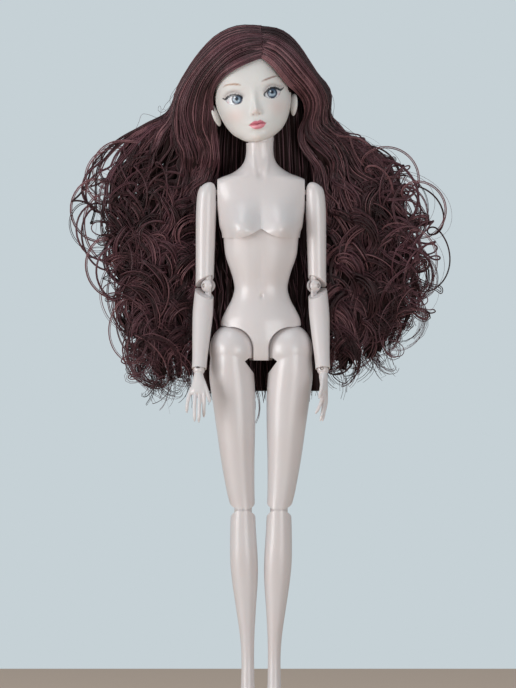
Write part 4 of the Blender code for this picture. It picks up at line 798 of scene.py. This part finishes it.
def paintFace(x, z, front):
    # colours for every point of the head, laid on in the order in which a face is sprayed and printed, with painted
    # shade and painted highlights laid among them
    base = np.tile(linear("#dcd9d6"), (len(x), 1))
    varnish = np.zeros(len(x))

    def lay(hexColour, share):
        share = np.clip(share, 0, 1) * front
        base[:] = base * (1 - share[:, None]) + np.array(linear(hexColour)) * share[:, None]

    lay("#e0b2a9", 0.30 * spot(x, z, (-9.6, 11.4), 3.8, 3.2) + 0.28 * spot(x, z, (9.0, 12.9), 3.8, 3.4))
    lay("#e0bfae", 0.30 * spot(x, z, (-0.5, 11.9), 1.7, 1.4) + 0.20 * spot(x, z, (-1.6, 0.9), 3.2, 1.5))
    # painted shade: soft dark dots in the two nostril dents, a little darker on the right
    lay("#a0857a", 0.60 * spot(x, z, (-1.85, 10.75), 0.42, 0.28) + 0.75 * spot(x, z, (0.85, 10.65), 0.45, 0.30))
    for eye in eyes.values():
        lash = smoothRows(eye["lash"], 48)
        low = smoothRows(eye["low"], 30)
        rim = np.vstack([lash[6:], low])
        lid, _ = nearPath(lash, x, z)
        above = ~insidePath(rim, x, z)
        middle, pupil = eye["iris"], eye["pupil"]
        high = z > middle[1]
        fold, along = nearPath(smoothRows(eye["crease"], 24), x, z)
        # painted shade: a soft grey band along the lid crease, above the eye opening
        lay("#9d9190", 0.55 * np.exp(-((fold / 0.9) ** 2)) * high * above)
        lay("#77696a", 0.80 * softEdge(fold, 0.10, 0.22) * np.sin(np.pi * np.clip(along, 0.05, 0.95)) ** 0.5)
        rimAway, _ = nearPath(np.vstack([rim, rim[:1]]), x, z)
        opening = softEdge(np.where(above, rimAway, -rimAway), 0.0, 0.14)
        lay("#dfe0e4", opening)
        lay("#c98f92", 0.6 * opening * spot(x, z, (eye["low"][-2][0], eye["low"][-2][1] + 0.1), 0.8, 0.7))
        reach = np.hypot(x - middle[0], z - middle[1])
        inner = np.hypot(x - pupil[0], z - pupil[1])
        angle = np.arctan2(z - pupil[1], x - pupil[0])
        lay("#1b1e36", opening * softEdge(reach, 2.28, 0.12))
        lay("#34465e", opening * softEdge(reach, 1.80, 0.22))
        streak = 0.5 + 0.5 * np.sin(angle * 15 + 2.2 * np.sin(angle * 4))
        # painted shade of the upper lid: the iris is lighter and streaked below a line just above its middle, plainer
        # and darker above it
        lay("#9db3c4", opening * softEdge(reach, 1.52, 0.34) * (0.40 + 0.45 * streak) * (z < middle[1] + 0.9))
        lay("#6d86a0", opening * softEdge(reach, 1.52, 0.34) * 0.40 * (z >= middle[1] + 0.9))
        lay("#bccfdc", opening * 0.55 * spot(x, z, (middle[0] + 0.3, middle[1] - 0.85), 1.1, 0.5))
        lay("#27364a", opening * softEdge(inner, 0.90, 0.40) * 0.85)
        lay("#0b1320", opening * softEdge(inner, 0.62, 0.15))
        # painted shade of the upper lid: a dark band inside the eye along the lash line
        lay("#1a1c2a", 0.70 * opening * np.exp(-((lid / 0.8) ** 2)))
        # painted highlights: a white catchlight up on the iris and a smaller one low beside it
        lay("#f4f8fb", softEdge(np.hypot(x - eye["shine"][0], z - eye["shine"][1]), 0.30, 0.14))
        lay("#dfe8f0", 0.75 * softEdge(np.hypot(x - middle[0] - 0.75, z - middle[1] + 0.8), 0.2, 0.14))
        away, along = nearPath(lash, x, z)
        lay("#17151b", softEdge(away, np.interp(along, [0, 0.10, 0.22, 0.6, 0.9, 1], [0.08, 0.38, 0.50, 0.42, 0.32, 0.14])))
        away, along = nearPath(low, x, z)
        lay("#4a4960", 0.75 * softEdge(away, np.interp(along, [0, 0.12, 0.6, 0.8, 1], [0.14, 0.10, 0.08, 0.03, 0.10])))
        for root in lash[8:42:4]:
            way = np.array([root[0] - middle[0], root[1] - middle[1] + 0.6])
            way = way / np.hypot(*way)
            bent = root + way * 0.80 + np.array([math.copysign(0.25, middle[0]), 0.1])
            stroke, _ = nearPath([root, root + way * 0.45, bent], x, z)
            lay("#2d272c", 0.6 * softEdge(stroke, 0.03, 0.13))
        varnish = np.maximum(varnish, opening * front)
    # the right brow takes a darker tone than the left: painted shade on the side of the face turned from the light
    for brow, tone, widths in (
        ([(-13.42, 24.3), (-12.23, 24.95), (-10.9, 25.2), (-9.6, 25.17), (-7.89, 24.93), (-6.62, 24.64), (-5.5, 24.2)], "#a57c60", [0.06, 0.26, 0.36, 0.44, 0.30]),
        ([(12.6, 25.3), (10.55, 25.97), (9.23, 25.89), (7.89, 25.65), (6.54, 25.34), (5.18, 24.98), (3.8, 24.6)], "#8f6b60", [0.06, 0.26, 0.36, 0.40, 0.26]),
    ):
        away, along = nearPath(smoothRows(brow, 24), x, z)
        lay(tone, np.interp(along, [0, 0.15, 0.8, 1], [0.6, 0.9, 0.85, 0.35]) * softEdge(away, np.interp(along, [0, 0.25, 0.5, 0.8, 1], widths), 0.3))
    upper = [(-4.46, 6.38), (-3.45, 7.2), (-2.3, 7.85), (-1.21, 8.0), (-0.42, 7.8), (0.69, 8.17), (1.81, 7.6), (2.64, 6.9), (3.17, 6.35)]
    middleLine = [(3.17, 6.35), (1.66, 6.56), (0.75, 6.73), (-0.07, 6.57), (-0.79, 6.30), (-1.43, 6.49), (-2.46, 6.74), (-3.55, 6.62), (-4.46, 6.38)]
    lower = [(-4.46, 6.38), (-3.68, 5.70), (-2.98, 4.97), (-1.99, 4.42), (-0.67, 4.24), (0.69, 4.40), (1.97, 4.95), (3.17, 6.35)]
    for outline, tone in ((upper + middleLine[1:-1], "#c8687a"), (lower + middleLine[1:-1], "#d9808e")):
        rim = np.array(outline)
        away, _ = nearPath(np.vstack([rim, rim[:1]]), x, z)
        share = softEdge(np.where(insidePath(rim, x, z), -away, away), 0.0, 0.3)
        lay(tone, 0.95 * share)
        varnish = np.maximum(varnish, 0.8 * share * front)
    # painted highlights: two pale spots on the lower lip
    lay("#f0b4bd", 0.75 * spot(x, z, (-1.9, 5.6), 0.9, 0.4) + 0.6 * spot(x, z, (0.3, 5.8), 0.7, 0.4))
    away, along = nearPath(smoothRows(middleLine, 30), x, z)
    lay("#7d2438", 0.9 * softEdge(away, np.interp(along, [0, 0.3, 0.7, 1], [0.10, 0.16, 0.10, 0.04]), 0.2))
    return base, varnish


def earForm(side):
    form = ballForm(1.0, 48)
    for vert in form.verts:
        x, y, z = vert.co
        rim = math.hypot(y * 1.1, z)
        narrow = 1.0 if z > 0 else 1.0 - 0.30 * abs(z)
        dent = 0.9 * bump(rim, 0.25, 0.42) * (1 if x > 0 else 0)
        vert.co = ((1.5 * x - dent) * 0.9, 2.9 * y * narrow, 4.9 * z)
    bmesh.ops.transform(form, matrix=at(17.1, 1.6, 13.0) @ turned(24, "Z") @ turned(8, "Y") @ turned(10, "X"), verts=form.verts)
    bmesh.ops.translate(form, vec=(-0.8 * side, 0, 0), verts=form.verts)
    return form


def makeHead():
    form = loftForm(headShape["rows"], 250, 330, crowd=0.55, fullness=2.15)
    spots = np.array([vert.co for vert in form.verts])
    hold = np.clip((-spots[:, 1] - 2) / 4, 0, 1)
    spots[:, 1] -= hold * faceSwell(spots[:, 0], spots[:, 2])
    for vert, deep in zip(form.verts, spots[:, 1]):
        vert.co.y = deep
    count = len(form.verts)
    for side in (1, -1):
        ear = earForm(side)
        if side < 0:
            bmesh.ops.scale(ear, vec=(-1, 1, 1), verts=ear.verts)
        bmesh.ops.recalc_face_normals(ear, faces=ear.faces)
        mesh = bpy.data.meshes.new("ear")
        ear.to_mesh(mesh)
        ear.free()
        form.from_mesh(mesh)
        bpy.data.meshes.remove(mesh)
    piece = solidOf(form, "headShell")
    spots = np.zeros(len(piece.data.vertices) * 3)
    piece.data.vertices.foreach_get("co", spots)
    spots = spots.reshape(-1, 3)
    front = np.clip((-spots[:, 1] - 1) / 2, 0, 1)
    front[count:] = 0
    base, varnish = paintFace(spots[:, 0], spots[:, 2], front)
    shades = piece.data.attributes.new("paint", "FLOAT_COLOR", "POINT")
    shades.data.foreach_set("color", np.hstack([base, np.ones((len(base), 1))]).ravel())
    coat = piece.data.attributes.new("varnish", "FLOAT", "POINT")
    coat.data.foreach_set("value", varnish)
    piece.data.transform(headPlace)
    finishPiece(piece, vinyl, "face_vinyl", "head", "head_shell", sharp=60)


# ---- hair: guides run from the parting over the head and down, then locks are laid between them

hairGuides = {
    "left": {
        "brow": (
            (0.0, -13, 100.2), (-3.5, -15, 99.3), (-8, -15.6, 97.6), (-12.6, -15, 95.4), (-16.6, -12.5, 92.8), (-19, -8.5, 89.3),
            (-20.2, -4, 84.5), (-20.6, -0.5, 79.2), (-20.2, 2, 72.5), (-19.6, 4.5, 65.5), (-20, 7, 58), (-22.5, 10.5, 47),
            (-26, 14, 30), (-27.8, 16, 12), (-29.6, 17, -4), (-30.4, 17, -23), (-29.5, 16, -44),
        ),
        "temple": (
            (0, -11, 104.6), (-6, -13.5, 104), (-13, -13, 101), (-19, -10, 96), (-23.8, -6, 90), (-26.3, -2.5, 83.5), (-27, 0, 76),
            (-26.5, 2.5, 68.5), (-24.8, 5, 61.5), (-25.5, 7, 55), (-29, 9, 47), (-33.5, 11.5, 35), (-36.5, 13, 19), (-38.3, 14, 1.7),
            (-39.6, 15, -14.8), (-39, 15, -32), (-35.5, 14.5, -52),
        ),
        "round": (
            (0, -6, 109.2), (-7, -8.5, 109.3), (-15.5, -8, 106.5), (-22.5, -6, 101.5), (-28.5, -3.5, 95.5), (-33.3, -1, 88.5),
            (-36.3, 1, 81), (-37, 2.5, 73.5), (-35, 4, 66), (-31.5, 5.5, 60), (-33, 7.5, 53.5), (-39.5, 9, 45), (-45, 11, 33),
            (-48.5, 12.5, 17), (-49.6, 13, 0), (-49.2, 14, -19), (-45.7, 14, -35.7), (-40.5, 14, -50),
        ),
        "outer": (
            (0, 2, 112.2), (-6.5, 2, 113), (-13, 2, 112), (-20, 2.5, 108.2), (-26.5, 3.5, 102), (-31.8, 4.5, 95), (-36, 5.5, 87.5),
            (-38.2, 6.5, 80), (-40.5, 7, 73.5), (-49, 8, 68.5), (-58.5, 9, 60), (-64.5, 10.5, 46), (-64, 12, 30), (-61, 12.5, 14),
            (-57.5, 13, -2), (-53.9, 14, -20), (-48.3, 14, -35.7), (-41.3, 14, -49.6),
        ),
        "wild": (
            (0, 8, 112.6), (-7, 8.5, 112.8), (-15, 9.5, 110.5), (-24, 10, 104), (-32, 10, 94), (-37.5, 10, 84), (-41, 10, 77.5),
            (-51.8, 10, 72.2), (-66, 10, 63.5), (-75.5, 11, 48), (-74, 12, 29), (-68, 12, 10.5), (-61.3, 13, -7.8), (-56, 13, -25),
        ),
        "backSide": (
            (0, 4, 112.6), (-7, 8, 112.4), (-15, 11.5, 109), (-23, 14, 101.5), (-29, 15.5, 91.5), (-32, 16.5, 80), (-32.6, 17, 68),
            (-33.5, 18.5, 54), (-36, 20.5, 40), (-39.6, 22, 18), (-41.3, 22, -4), (-40.5, 21, -26), (-37.4, 19, -49),
        ),
        "backNear": (
            (0, 7, 112.6), (-6, 13, 111), (-12, 18.5, 105.5), (-17.5, 21.5, 96.5), (-21, 22, 85), (-22, 22, 72), (-22.6, 23, 58.7),
            (-24, 25, 39), (-24.8, 26, 17.4), (-25.2, 26, -4), (-25.2, 24, -26), (-24.4, 20, -50),
        ),
        "backMid": (
            (0, 10, 112.2), (-0.8, 16, 109.8), (-1.3, 20.6, 101), (-1.8, 23, 88), (-2.2, 23.5, 73), (-2.6, 24, 58.7), (-3, 26, 39),
            (-3.2, 27, 17.4), (-3.2, 27, -4), (-3, 25, -26), (-2.4, 22, -58),
        ),
    },
    "right": {
        "brow": (
            (0.4, -13, 100.2), (3, -14.8, 99), (5.8, -14.6, 96.6), (8.9, -12.5, 93), (12, -9, 89.2), (15, -3.5, 86.8), (18, 2.5, 83.5),
            (19, 6, 78), (18.6, 8, 71), (18.4, 9.5, 64), (20.5, 11, 55), (25, 12.5, 42), (29, 14, 22), (30.5, 15, 0), (31.5, 15, -22),
            (34, 15, -42),
        ),
        "temple": (
            (0.4, -11, 104), (5.5, -13, 102.6), (11, -11.5, 98), (16, -7.5, 92.5), (20, -2.5, 88), (22.8, 1, 83), (23.3, 3.5, 76),
            (23.5, 5.5, 69.5), (27.5, 7, 62), (34.5, 8, 53), (39, 9.5, 38.3), (40, 11, 19), (40.9, 13, -2.6), (40.9, 13, -23.5),
            (39.6, 13, -42.6),
        ),
        "round": (
            (0.4, -6, 109), (6, -8, 108), (12.5, -7.5, 104), (18, -4.5, 98.5), (22.5, -1, 93), (26, 2, 88), (28.6, 4, 82.5), (28, 5, 76),
            (27.8, 6, 70.5), (34, 6.5, 63.5), (43.5, 8, 55.5), (50.5, 9.5, 40), (53, 11, 17.4), (54.4, 12, -4), (51.8, 13, -22.6),
            (45.7, 13, -40),
        ),
        "outer": (
            (0.4, 2, 111.8), (7, 2, 111.4), (12, 3, 108.6), (16.5, 3.5, 104), (20.5, 4.5, 98.5), (24.5, 5.5, 93), (28.5, 6.5, 88.5),
            (30, 7, 83.5), (28.6, 7.5, 77.5), (28.6, 8, 72.5), (34, 8, 67.5), (43.9, 8.5, 61.5), (52.5, 9.5, 52), (57.5, 10.5, 37.4),
            (61.8, 11.5, 20), (66, 12.5, 2.2), (62.6, 13, -13.9), (54.4, 13, -31.3),
        ),
        "wild": (
            (0.4, 8, 112.3), (8, 9, 111), (14.5, 9.5, 106), (20.5, 10, 98), (26, 10, 90.5), (29, 10, 84), (29.5, 10, 76), (36, 9.5, 68.5),
            (50, 9.5, 58.5), (63, 10, 46), (73, 11.5, 30), (72.6, 12, 12), (68.3, 12, -5), (60.5, 12, -20),
        ),
        "backSide": (
            (0.4, 4, 112.3), (7.5, 8, 111.2), (14.5, 11.5, 106), (20, 14.5, 98), (24, 16, 89), (26, 17, 79), (27, 17.5, 69), (30.4, 18, 58),
            (34.4, 20, 40), (37.8, 22, 18), (39, 22, -4), (37.8, 21, -26), (33.5, 19, -47),
        ),
        "backNear": (
            (0.4, 7, 112.4), (6.5, 13, 110.5), (12.5, 19, 103.5), (16.5, 21.5, 93), (18.5, 22, 81), (20, 22, 68), (21.5, 23, 55),
            (23.9, 25, 39), (24.8, 26, 17.4), (25.2, 26, -4), (25.2, 24, -26), (24.4, 21, -48),
        ),
        "backMid": (
            (0.4, 10, 112.2), (0.9, 16, 109.8), (1.3, 20.6, 101), (1.8, 23, 88), (2.2, 23.5, 73), (2.6, 24, 58.7), (3, 26, 39),
            (3.2, 27, 17.4), (3.2, 27, -4), (3, 25, -26), (2.4, 22, -56),
        ),
    },
}
roundTheHead = ("brow", "temple", "round", "outer", "backSide", "backNear", "backMid")
hair = {
    "locks": 70, "strands": 8, "radius": 0.27, "topPoints": 18, "curlPoints": 96,
    "curl": (6.0, 10.2), "pitch": (18, 27), "tilt": (50, 88), "depth": 9, "crown": 1.4, "backLift": 3.5,
    "loops": 30, "loopStrands": 3, "loopCurl": (5.5, 10), "loopPitch": (22, 34), "loopTilt": (62, 90),
    "fillers": 22, "fillerRadius": 3.0, "flyaways": 26,
}


def measured(path):
    return np.concatenate([[0], np.cumsum(np.linalg.norm(np.diff(path, axis=0), axis=1))])


def laidPath(points, top, rest, end=1.0, split=0.34):
    # the path read sparsely over the head and closely where it curls
    walked = measured(points)
    places = np.concatenate([np.linspace(0, split, top, endpoint=False), np.linspace(split, 1, rest)]) * walked[-1] * end
    return np.array([np.interp(places, walked, points[:, k]) for k in range(3)]).T


def blendGuides(guides, share, names):
    place = share * (len(names) - 1)
    k = min(int(place), len(names) - 2)
    return guides[names[k]] * (1 - place + k) + guides[names[k + 1]] * (place - k)


def frameOf(path):
    ahead = np.gradient(path, axis=0)
    ahead /= np.linalg.norm(ahead, axis=1)[:, None] + 1e-9
    aside = np.cross(ahead, (0, 1, 0))
    aside /= np.linalg.norm(aside, axis=1)[:, None] + 1e-9
    return ahead, aside, np.cross(aside, ahead)


def clearHead(path, tree, lift):
    # pushes every point that is in the head, or too near to it, out to its own layer
    for point in path[path[:, 2] > 58]:
        spotOn, normal, _, away = tree.find_nearest(Vector(point))
        if (Vector(point) - spotOn).dot(normal) < 0 or away < lift:
            path[np.all(path == point, axis=1)] = spotOn + normal * lift


def clearBody(path):
    # hair hangs behind the back and the arms
    x, y, z = np.abs(path[:, 0]), path[:, 1], path[:, 2]
    least = np.interp(x, [0, 18, 22, 32, 42], [11.5, 11.5, 8.5, 7.5, -6]) + 1.5
    ease = np.clip((57 - z) / 8, 0, 1)
    soft = least + 1.5 * np.exp(np.clip((y - least - 1.5) / 4, -8, 0))
    path[:, 1] = np.where((y < least + 1.5) & (z < 57), y * (1 - ease) + soft * ease, y)


def curled(path, start, size, pitch, phase, tilt):
    # coils that open into loops: the circle is tipped from square to the path towards the path itself
    walked = measured(path)
    ahead, aside, away = frameOf(path)
    past = np.clip((walked - start) / 38, 0, 1)
    amount = size * past * past * (3 - 2 * past) * (1 - 0.25 * walked / walked[-1])
    angle = math.tau * (walked - start) / pitch + phase
    other = away * math.cos(tilt) + ahead * math.sin(tilt)
    return path + (aside * np.cos(angle)[:, None] + other * np.sin(angle)[:, None]) * amount[:, None]


def waved(path, size, length, phase):
    # the flat S waves between the ears and the shoulders
    window = np.clip((86 - path[:, 2]) / 16, 0, 1) * np.clip((path[:, 2] - 34) / 18, 0, 1)
    _, aside, _ = frameOf(path)
    return path + aside * (size * window * np.sin(math.tau * measured(path) / length + phase))[:, None]


def addStrand(curve, path, sizes, finish):
    spline = curve.splines.new("POLY")
    spline.points.add(len(path) - 1)
    spline.points.foreach_set("co", np.hstack([path * 0.001, np.ones((len(path), 1))]).ravel())
    spline.points.foreach_set("radius", sizes * 0.001)
    spline.material_index = finish
    spline.use_smooth = True


def tapered(count, radius, tip=0.3, root=1.0):
    share = np.linspace(0, 1, count)
    return radius * np.minimum(root + (1 - root) * np.clip(share / 0.2, 0, 1), 1 - (1 - tip) * np.clip((share - 0.6) / 0.4, 0, 1) ** 2)


def newHairCurve(name, looks, nodes=(), corners=0):
    curve = bpy.data.curves.new(name, "CURVE")
    curve.dimensions = "3D"
    curve.bevel_depth, curve.bevel_resolution, curve.use_fill_caps = 1.0, corners, True
    curve.resolution_u = 1
    for look in looks:
        curve.materials.append(look)
    made = bpy.data.objects.new(name, curve)
    bpy.context.scene.collection.objects.link(made)
    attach(made, "head")
    if nodes:
        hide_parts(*nodes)
    return curve


def wander(path, seed, size):
    drift = np.array([noise.noise_vector(Vector((seed, p[2] * 0.032, p[0] * 0.01))) for p in path])
    below = np.clip((80 - path[:, 2]) / 40, 0, 1)[:, None]
    return path + drift * below * np.array(size)


def makeHair():
    shell = loftForm(headShape["rows"], 60, 72)
    bmesh.ops.transform(shell, matrix=headPlace, verts=shell.verts)
    tree = BVHTree.FromBMesh(shell)
    shell.free()
    # the core's thick filler locks take the nearly black root finish: hair mass, darkened as painted shade in the gaps
    # between the locks
    core = newHairCurve("hairCore", [scalp], corners=2)
    for side, guidePoints in hairGuides.items():
        guides = {name: laidPath(smoothRows(points, 160), 0, 120, split=0) for name, points in guidePoints.items()}
        label = side.title()
        isLeft = side == "left"
        front = newHairCurve(f"hair{label}Front", fibres, ("hair_cap",) if isLeft else ())
        middle = newHairCurve(f"hair{label}Middle", fibres, ("hair_right",) if isLeft else ("hair_left",))
        rear = newHairCurve(f"hair{label}Back", fibres, ("hair_back",) if isLeft else ())
        loops = newHairCurve(f"hair{label}Loops", fibres)
        seed = 3.7 if isLeft else 9.1
        for k in range(hair["locks"]):
            share = (k + dice.random()) / hair["locks"]
            outward = math.exp(-(((share - 0.42) / 0.2) ** 2))
            layer = dice.random()
            end = dice.uniform(0.90, 1.0)
            base = laidPath(blendGuides(guides, share, roundTheHead), hair["topPoints"], hair["curlPoints"], end)
            base = wander(base, seed + k * 2.3, (9 + 4 * outward, 3, 7))
            base[:, 2] += hair["crown"] * np.clip((base[:, 2] - 94) / 14, 0, 1)
            below = np.clip((84 - base[:, 2]) / 40, 0, 1)
            base[:, 1] += (hair["depth"] * layer * outward + hair["backLift"] * min(max((share - 0.58) / 0.1, 0), 1)) * below
            base = waved(base, 0.6 if isLeft else 1.8, 30, 5 * share)
            size, pitch = dice.uniform(*hair["curl"]) * (0.6 + 0.4 * outward), dice.uniform(*hair["pitch"]) * dice.choice((-1, 1))
            start = measured(base)[np.argmax(base[:, 2] < dice.uniform(48, 66))]
            phase, tilt = dice.uniform(0, math.tau), math.radians(dice.uniform(*hair["tilt"]))
            lock = curled(base, start, size, pitch, phase, tilt)
            _, aside, away = frameOf(lock)
            gather = (0.9 + 0.7 * below * (1 - 0.5 * np.linspace(0, 1, len(lock)) ** 3))[:, None]
            target = front if share < 0.3 else middle if share < 0.62 else rear
            # painted shade: the locks laid deepest, nearest the scalp, always take the darkest fibre
            tone = 0 if layer > 0.72 else dice.choice((0, 1, 1, 2))
            for s in range(hair["strands"]):
                across, deep = dice.uniform(-1.25, 1.25), dice.uniform(-0.5, 0.5)
                loose = curled(lock, start * 0.6, dice.uniform(0.05, 0.45), dice.uniform(12, 22), dice.uniform(0, math.tau), 0.3)
                strand = loose + (aside * across + away * deep) * gather
                strand = strand[: int(len(strand) * dice.uniform(0.93, 1.0))]
                clearHead(strand, tree, 0.9 + 1.7 * (1 - layer) + dice.uniform(0, 0.4))
                clearBody(strand)
                finish = tone if dice.random() < 0.7 else dice.choice((0, 1, 2))
                addStrand(target, strand, tapered(len(strand), hair["radius"] * dice.uniform(0.8, 1.2)), finish)
        for k in range(hair["loops"]):
            base = laidPath(blendGuides(guides, dice.random() ** 0.7, ("round", "outer", "wild")), 14, 150, dice.uniform(0.62, 1.0))
            base = wander(base, seed + 40 + k * 1.9, (10, 4, 7))
            start = measured(base)[np.argmax(base[:, 2] < dice.uniform(58, 76))]
            lock = curled(base, start, dice.uniform(*hair["loopCurl"]), dice.uniform(*hair["loopPitch"]) * dice.choice((-1, 1)), dice.uniform(0, math.tau), math.radians(dice.uniform(*hair["loopTilt"])))
            _, aside, away = frameOf(lock)
            tone = dice.choice((0, 1, 1, 2))
            for s in range(hair["loopStrands"]):
                strand = lock + aside * dice.uniform(-0.5, 0.5) + away * dice.uniform(-0.4, 0.4)
                clearHead(strand, tree, 2.0 + dice.random())
                clearBody(strand)
                addStrand(loops, strand, tapered(len(strand), 0.21), tone)
        for k in range(hair["flyaways"]):
            base = laidPath(blendGuides(guides, dice.random(), ("round", "outer", "wild")), 12, 96, dice.uniform(0.4, 1.0))
            base = wander(base, seed + 90 + k * 1.3, (16, 5, 12))
            strand = curled(base, dice.uniform(30, 60), dice.uniform(4, 9), dice.uniform(34, 60), dice.uniform(0, math.tau), 1.0)
            clearHead(strand, tree, 2.2 + 2 * dice.random())
            clearBody(strand)
            addStrand(loops, strand, tapered(len(strand), 0.075), 1)
        for share in np.linspace(0.04, 1.0, hair["fillers"]):
            base = laidPath(blendGuides(guides, share, roundTheHead), 10, 34, 0.93)
            base = wander(base, seed + 60 + share * 9, (5, 1, 1))
            base = base[base[:, 2] < 86]
            behind = min(max((share - 0.5) / 0.14, 0), 1)
            base[:, 1] += 3.0 - 5.6 * behind
            clearHead(base, tree, 1.4)
            thick = hair["fillerRadius"] - 1.4 * math.exp(-(((share - 0.48) / 0.12) ** 2))
            clearBody(base)
            base[:, 1] += np.where(base[:, 2] < 56, thick * 0.6 * (1 - behind), 0)
            addStrand(core, base, tapered(len(base), thick, 0.3, 0.4), 0)
    nape = newHairCurve("hairNape", fibres)
    for x in np.linspace(-24, 24, 15):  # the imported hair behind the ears, the neck and the waist, down between the thighs
        base = smoothRows([(0.9 * x, 13, 92), (x, 14, 78), (1.1 * x, 16, 60), (1.1 * x, 19, 40), (x, 20, 0), (x, 20, -24), (x, 19, -44)], 46)
        clearHead(base, tree, 1.4)
        clearBody(base)
        addStrand(core, base, tapered(len(base), 2.5, 0.75, 0.4), 0)
        for s in range(9):
            turn = math.tau * s / 9
            strand = base + np.array([2.4 * math.cos(turn), 2.8 * math.sin(turn), dice.uniform(-6, 2)])
            strand = curled(wander(strand, x + s, (2, 1, 0)), 30, dice.uniform(0.5, 1.6), dice.uniform(18, 28), turn, 0.4)
            addStrand(nape, strand, tapered(len(strand), 0.26), dice.choice((0, 0, 1)))
    makeScalp()
    print("hair laid")


def makeScalp():
    # the rooted cap: the head's own form a little larger, above the hairline
    rows = [(z * 1.02, x, y, wide + 0.8, front + 0.8, back + 0.8) for z, x, y, wide, front, back in headShape["rows"]]
    form = loftForm(rows, 90, 120)
    lineX = [-17.4, -16.0, -14.7, -10.8, -4.7, 0.0, 4.7, 7.1, 11.0, 13.4, 14.8, 15.4]
    lineZ = [20.5, 25.4, 28.9, 30.6, 31.9, 34.2, 34.2, 33.0, 30.2, 26.5, 21.5, 17.5]
    gone = []
    for face in form.faces:
        x, y, z = face.calc_center_median()
        edge = float(np.interp(x, lineX, lineZ)) + 1.2
        inFront = y < 0.5
        if (inFront and z < edge) or (not inFront and z < 7) or (y < 5 and z < 19 and not inFront):
            gone.append(face)
    bmesh.ops.delete(form, geom=gone, context="FACES")
    bmesh.ops.solidify(form, geom=form.faces[:], thickness=0.5)
    piece = solidOf(form, "scalpCap", headPlace)
    finishPiece(piece, scalp, "hair_fibre", "head")


# ---- everything together

makeChest()
makeTorso()
makeHead()
for label, side, handTurn in (("Left", 1, 12), ("Right", -1, 78)):
    makeArm(label, side, handTurn)
    makeLeg(label, side)
makeHair()

for name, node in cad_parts.items():
    look = None
    if name.endswith("_pin"):
        look = steel
    elif any(word in name for word in ("axle", "hub", "peg", "cross", "knob", "post", "waist_ball")):
        look = nylon
    if look:
        for slot in node.material_slots:
            slot.material = look


def makeStage():
    floor = solidOf(blockForm((-1200, -900, -230), (1200, 740, -190.9)), "tableTop")
    floor.data.transform(Matrix.Scale(0.001, 4))
    made, tree, shader = newFinish("paleTable", 0.6)
    shader.inputs["Base Color"].default_value = colour("#dcbfa9")
    floor.data.materials.append(made)
    world = bpy.data.worlds.new("paleRoom")
    world.use_nodes = True
    sky = world.node_tree.nodes["Background"]
    sky.inputs["Color"].default_value = colour("#c6d1d6")
    seen = addNode(world.node_tree, "ShaderNodeLightPath").outputs["Is Camera Ray"]
    level = addNode(world.node_tree, "ShaderNodeMapRange", {"To Min": 0.60, "To Max": 1.0}, {"Value": seen})
    world.node_tree.links.new(level.outputs["Result"], sky.inputs["Strength"])
    bpy.context.scene.world = world
    for name, spotOn, size, power in (
        ("softKey", (-1.35, -0.85, 0.10), 0.8, 13.5),
        ("softFront", (0.75, -1.4, -0.20), 0.9, 12.0),
        ("softTop", (-0.2, -0.3, 1.2), 0.6, 2.2),
    ):
        data = bpy.data.lights.new(name, "AREA")
        data.size, data.energy = size, power
        lamp = bpy.data.objects.new(name, data)
        lamp.location = spotOn
        lamp.rotation_mode = "QUATERNION"
        lamp.rotation_quaternion = (Vector((0, 0, -0.02)) - Vector(spotOn)).to_track_quat("-Z", "Y")
        bpy.context.scene.collection.objects.link(lamp)
    eye = bpy.data.cameras.new("portrait")
    eye.lens, eye.sensor_width = 36 * 4.0 / 0.2993, 36
    camera = bpy.data.objects.new("portrait", eye)
    camera.location = (-0.0013, -4.0, -0.0235)
    camera.rotation_euler = (math.radians(90), 0, 0)
    eye.clip_end = 20
    bpy.context.scene.collection.objects.link(camera)
    bpy.context.scene.camera = camera
    bpy.context.scene.view_settings.view_transform = "Standard"


makeStage()
print("scene ready")
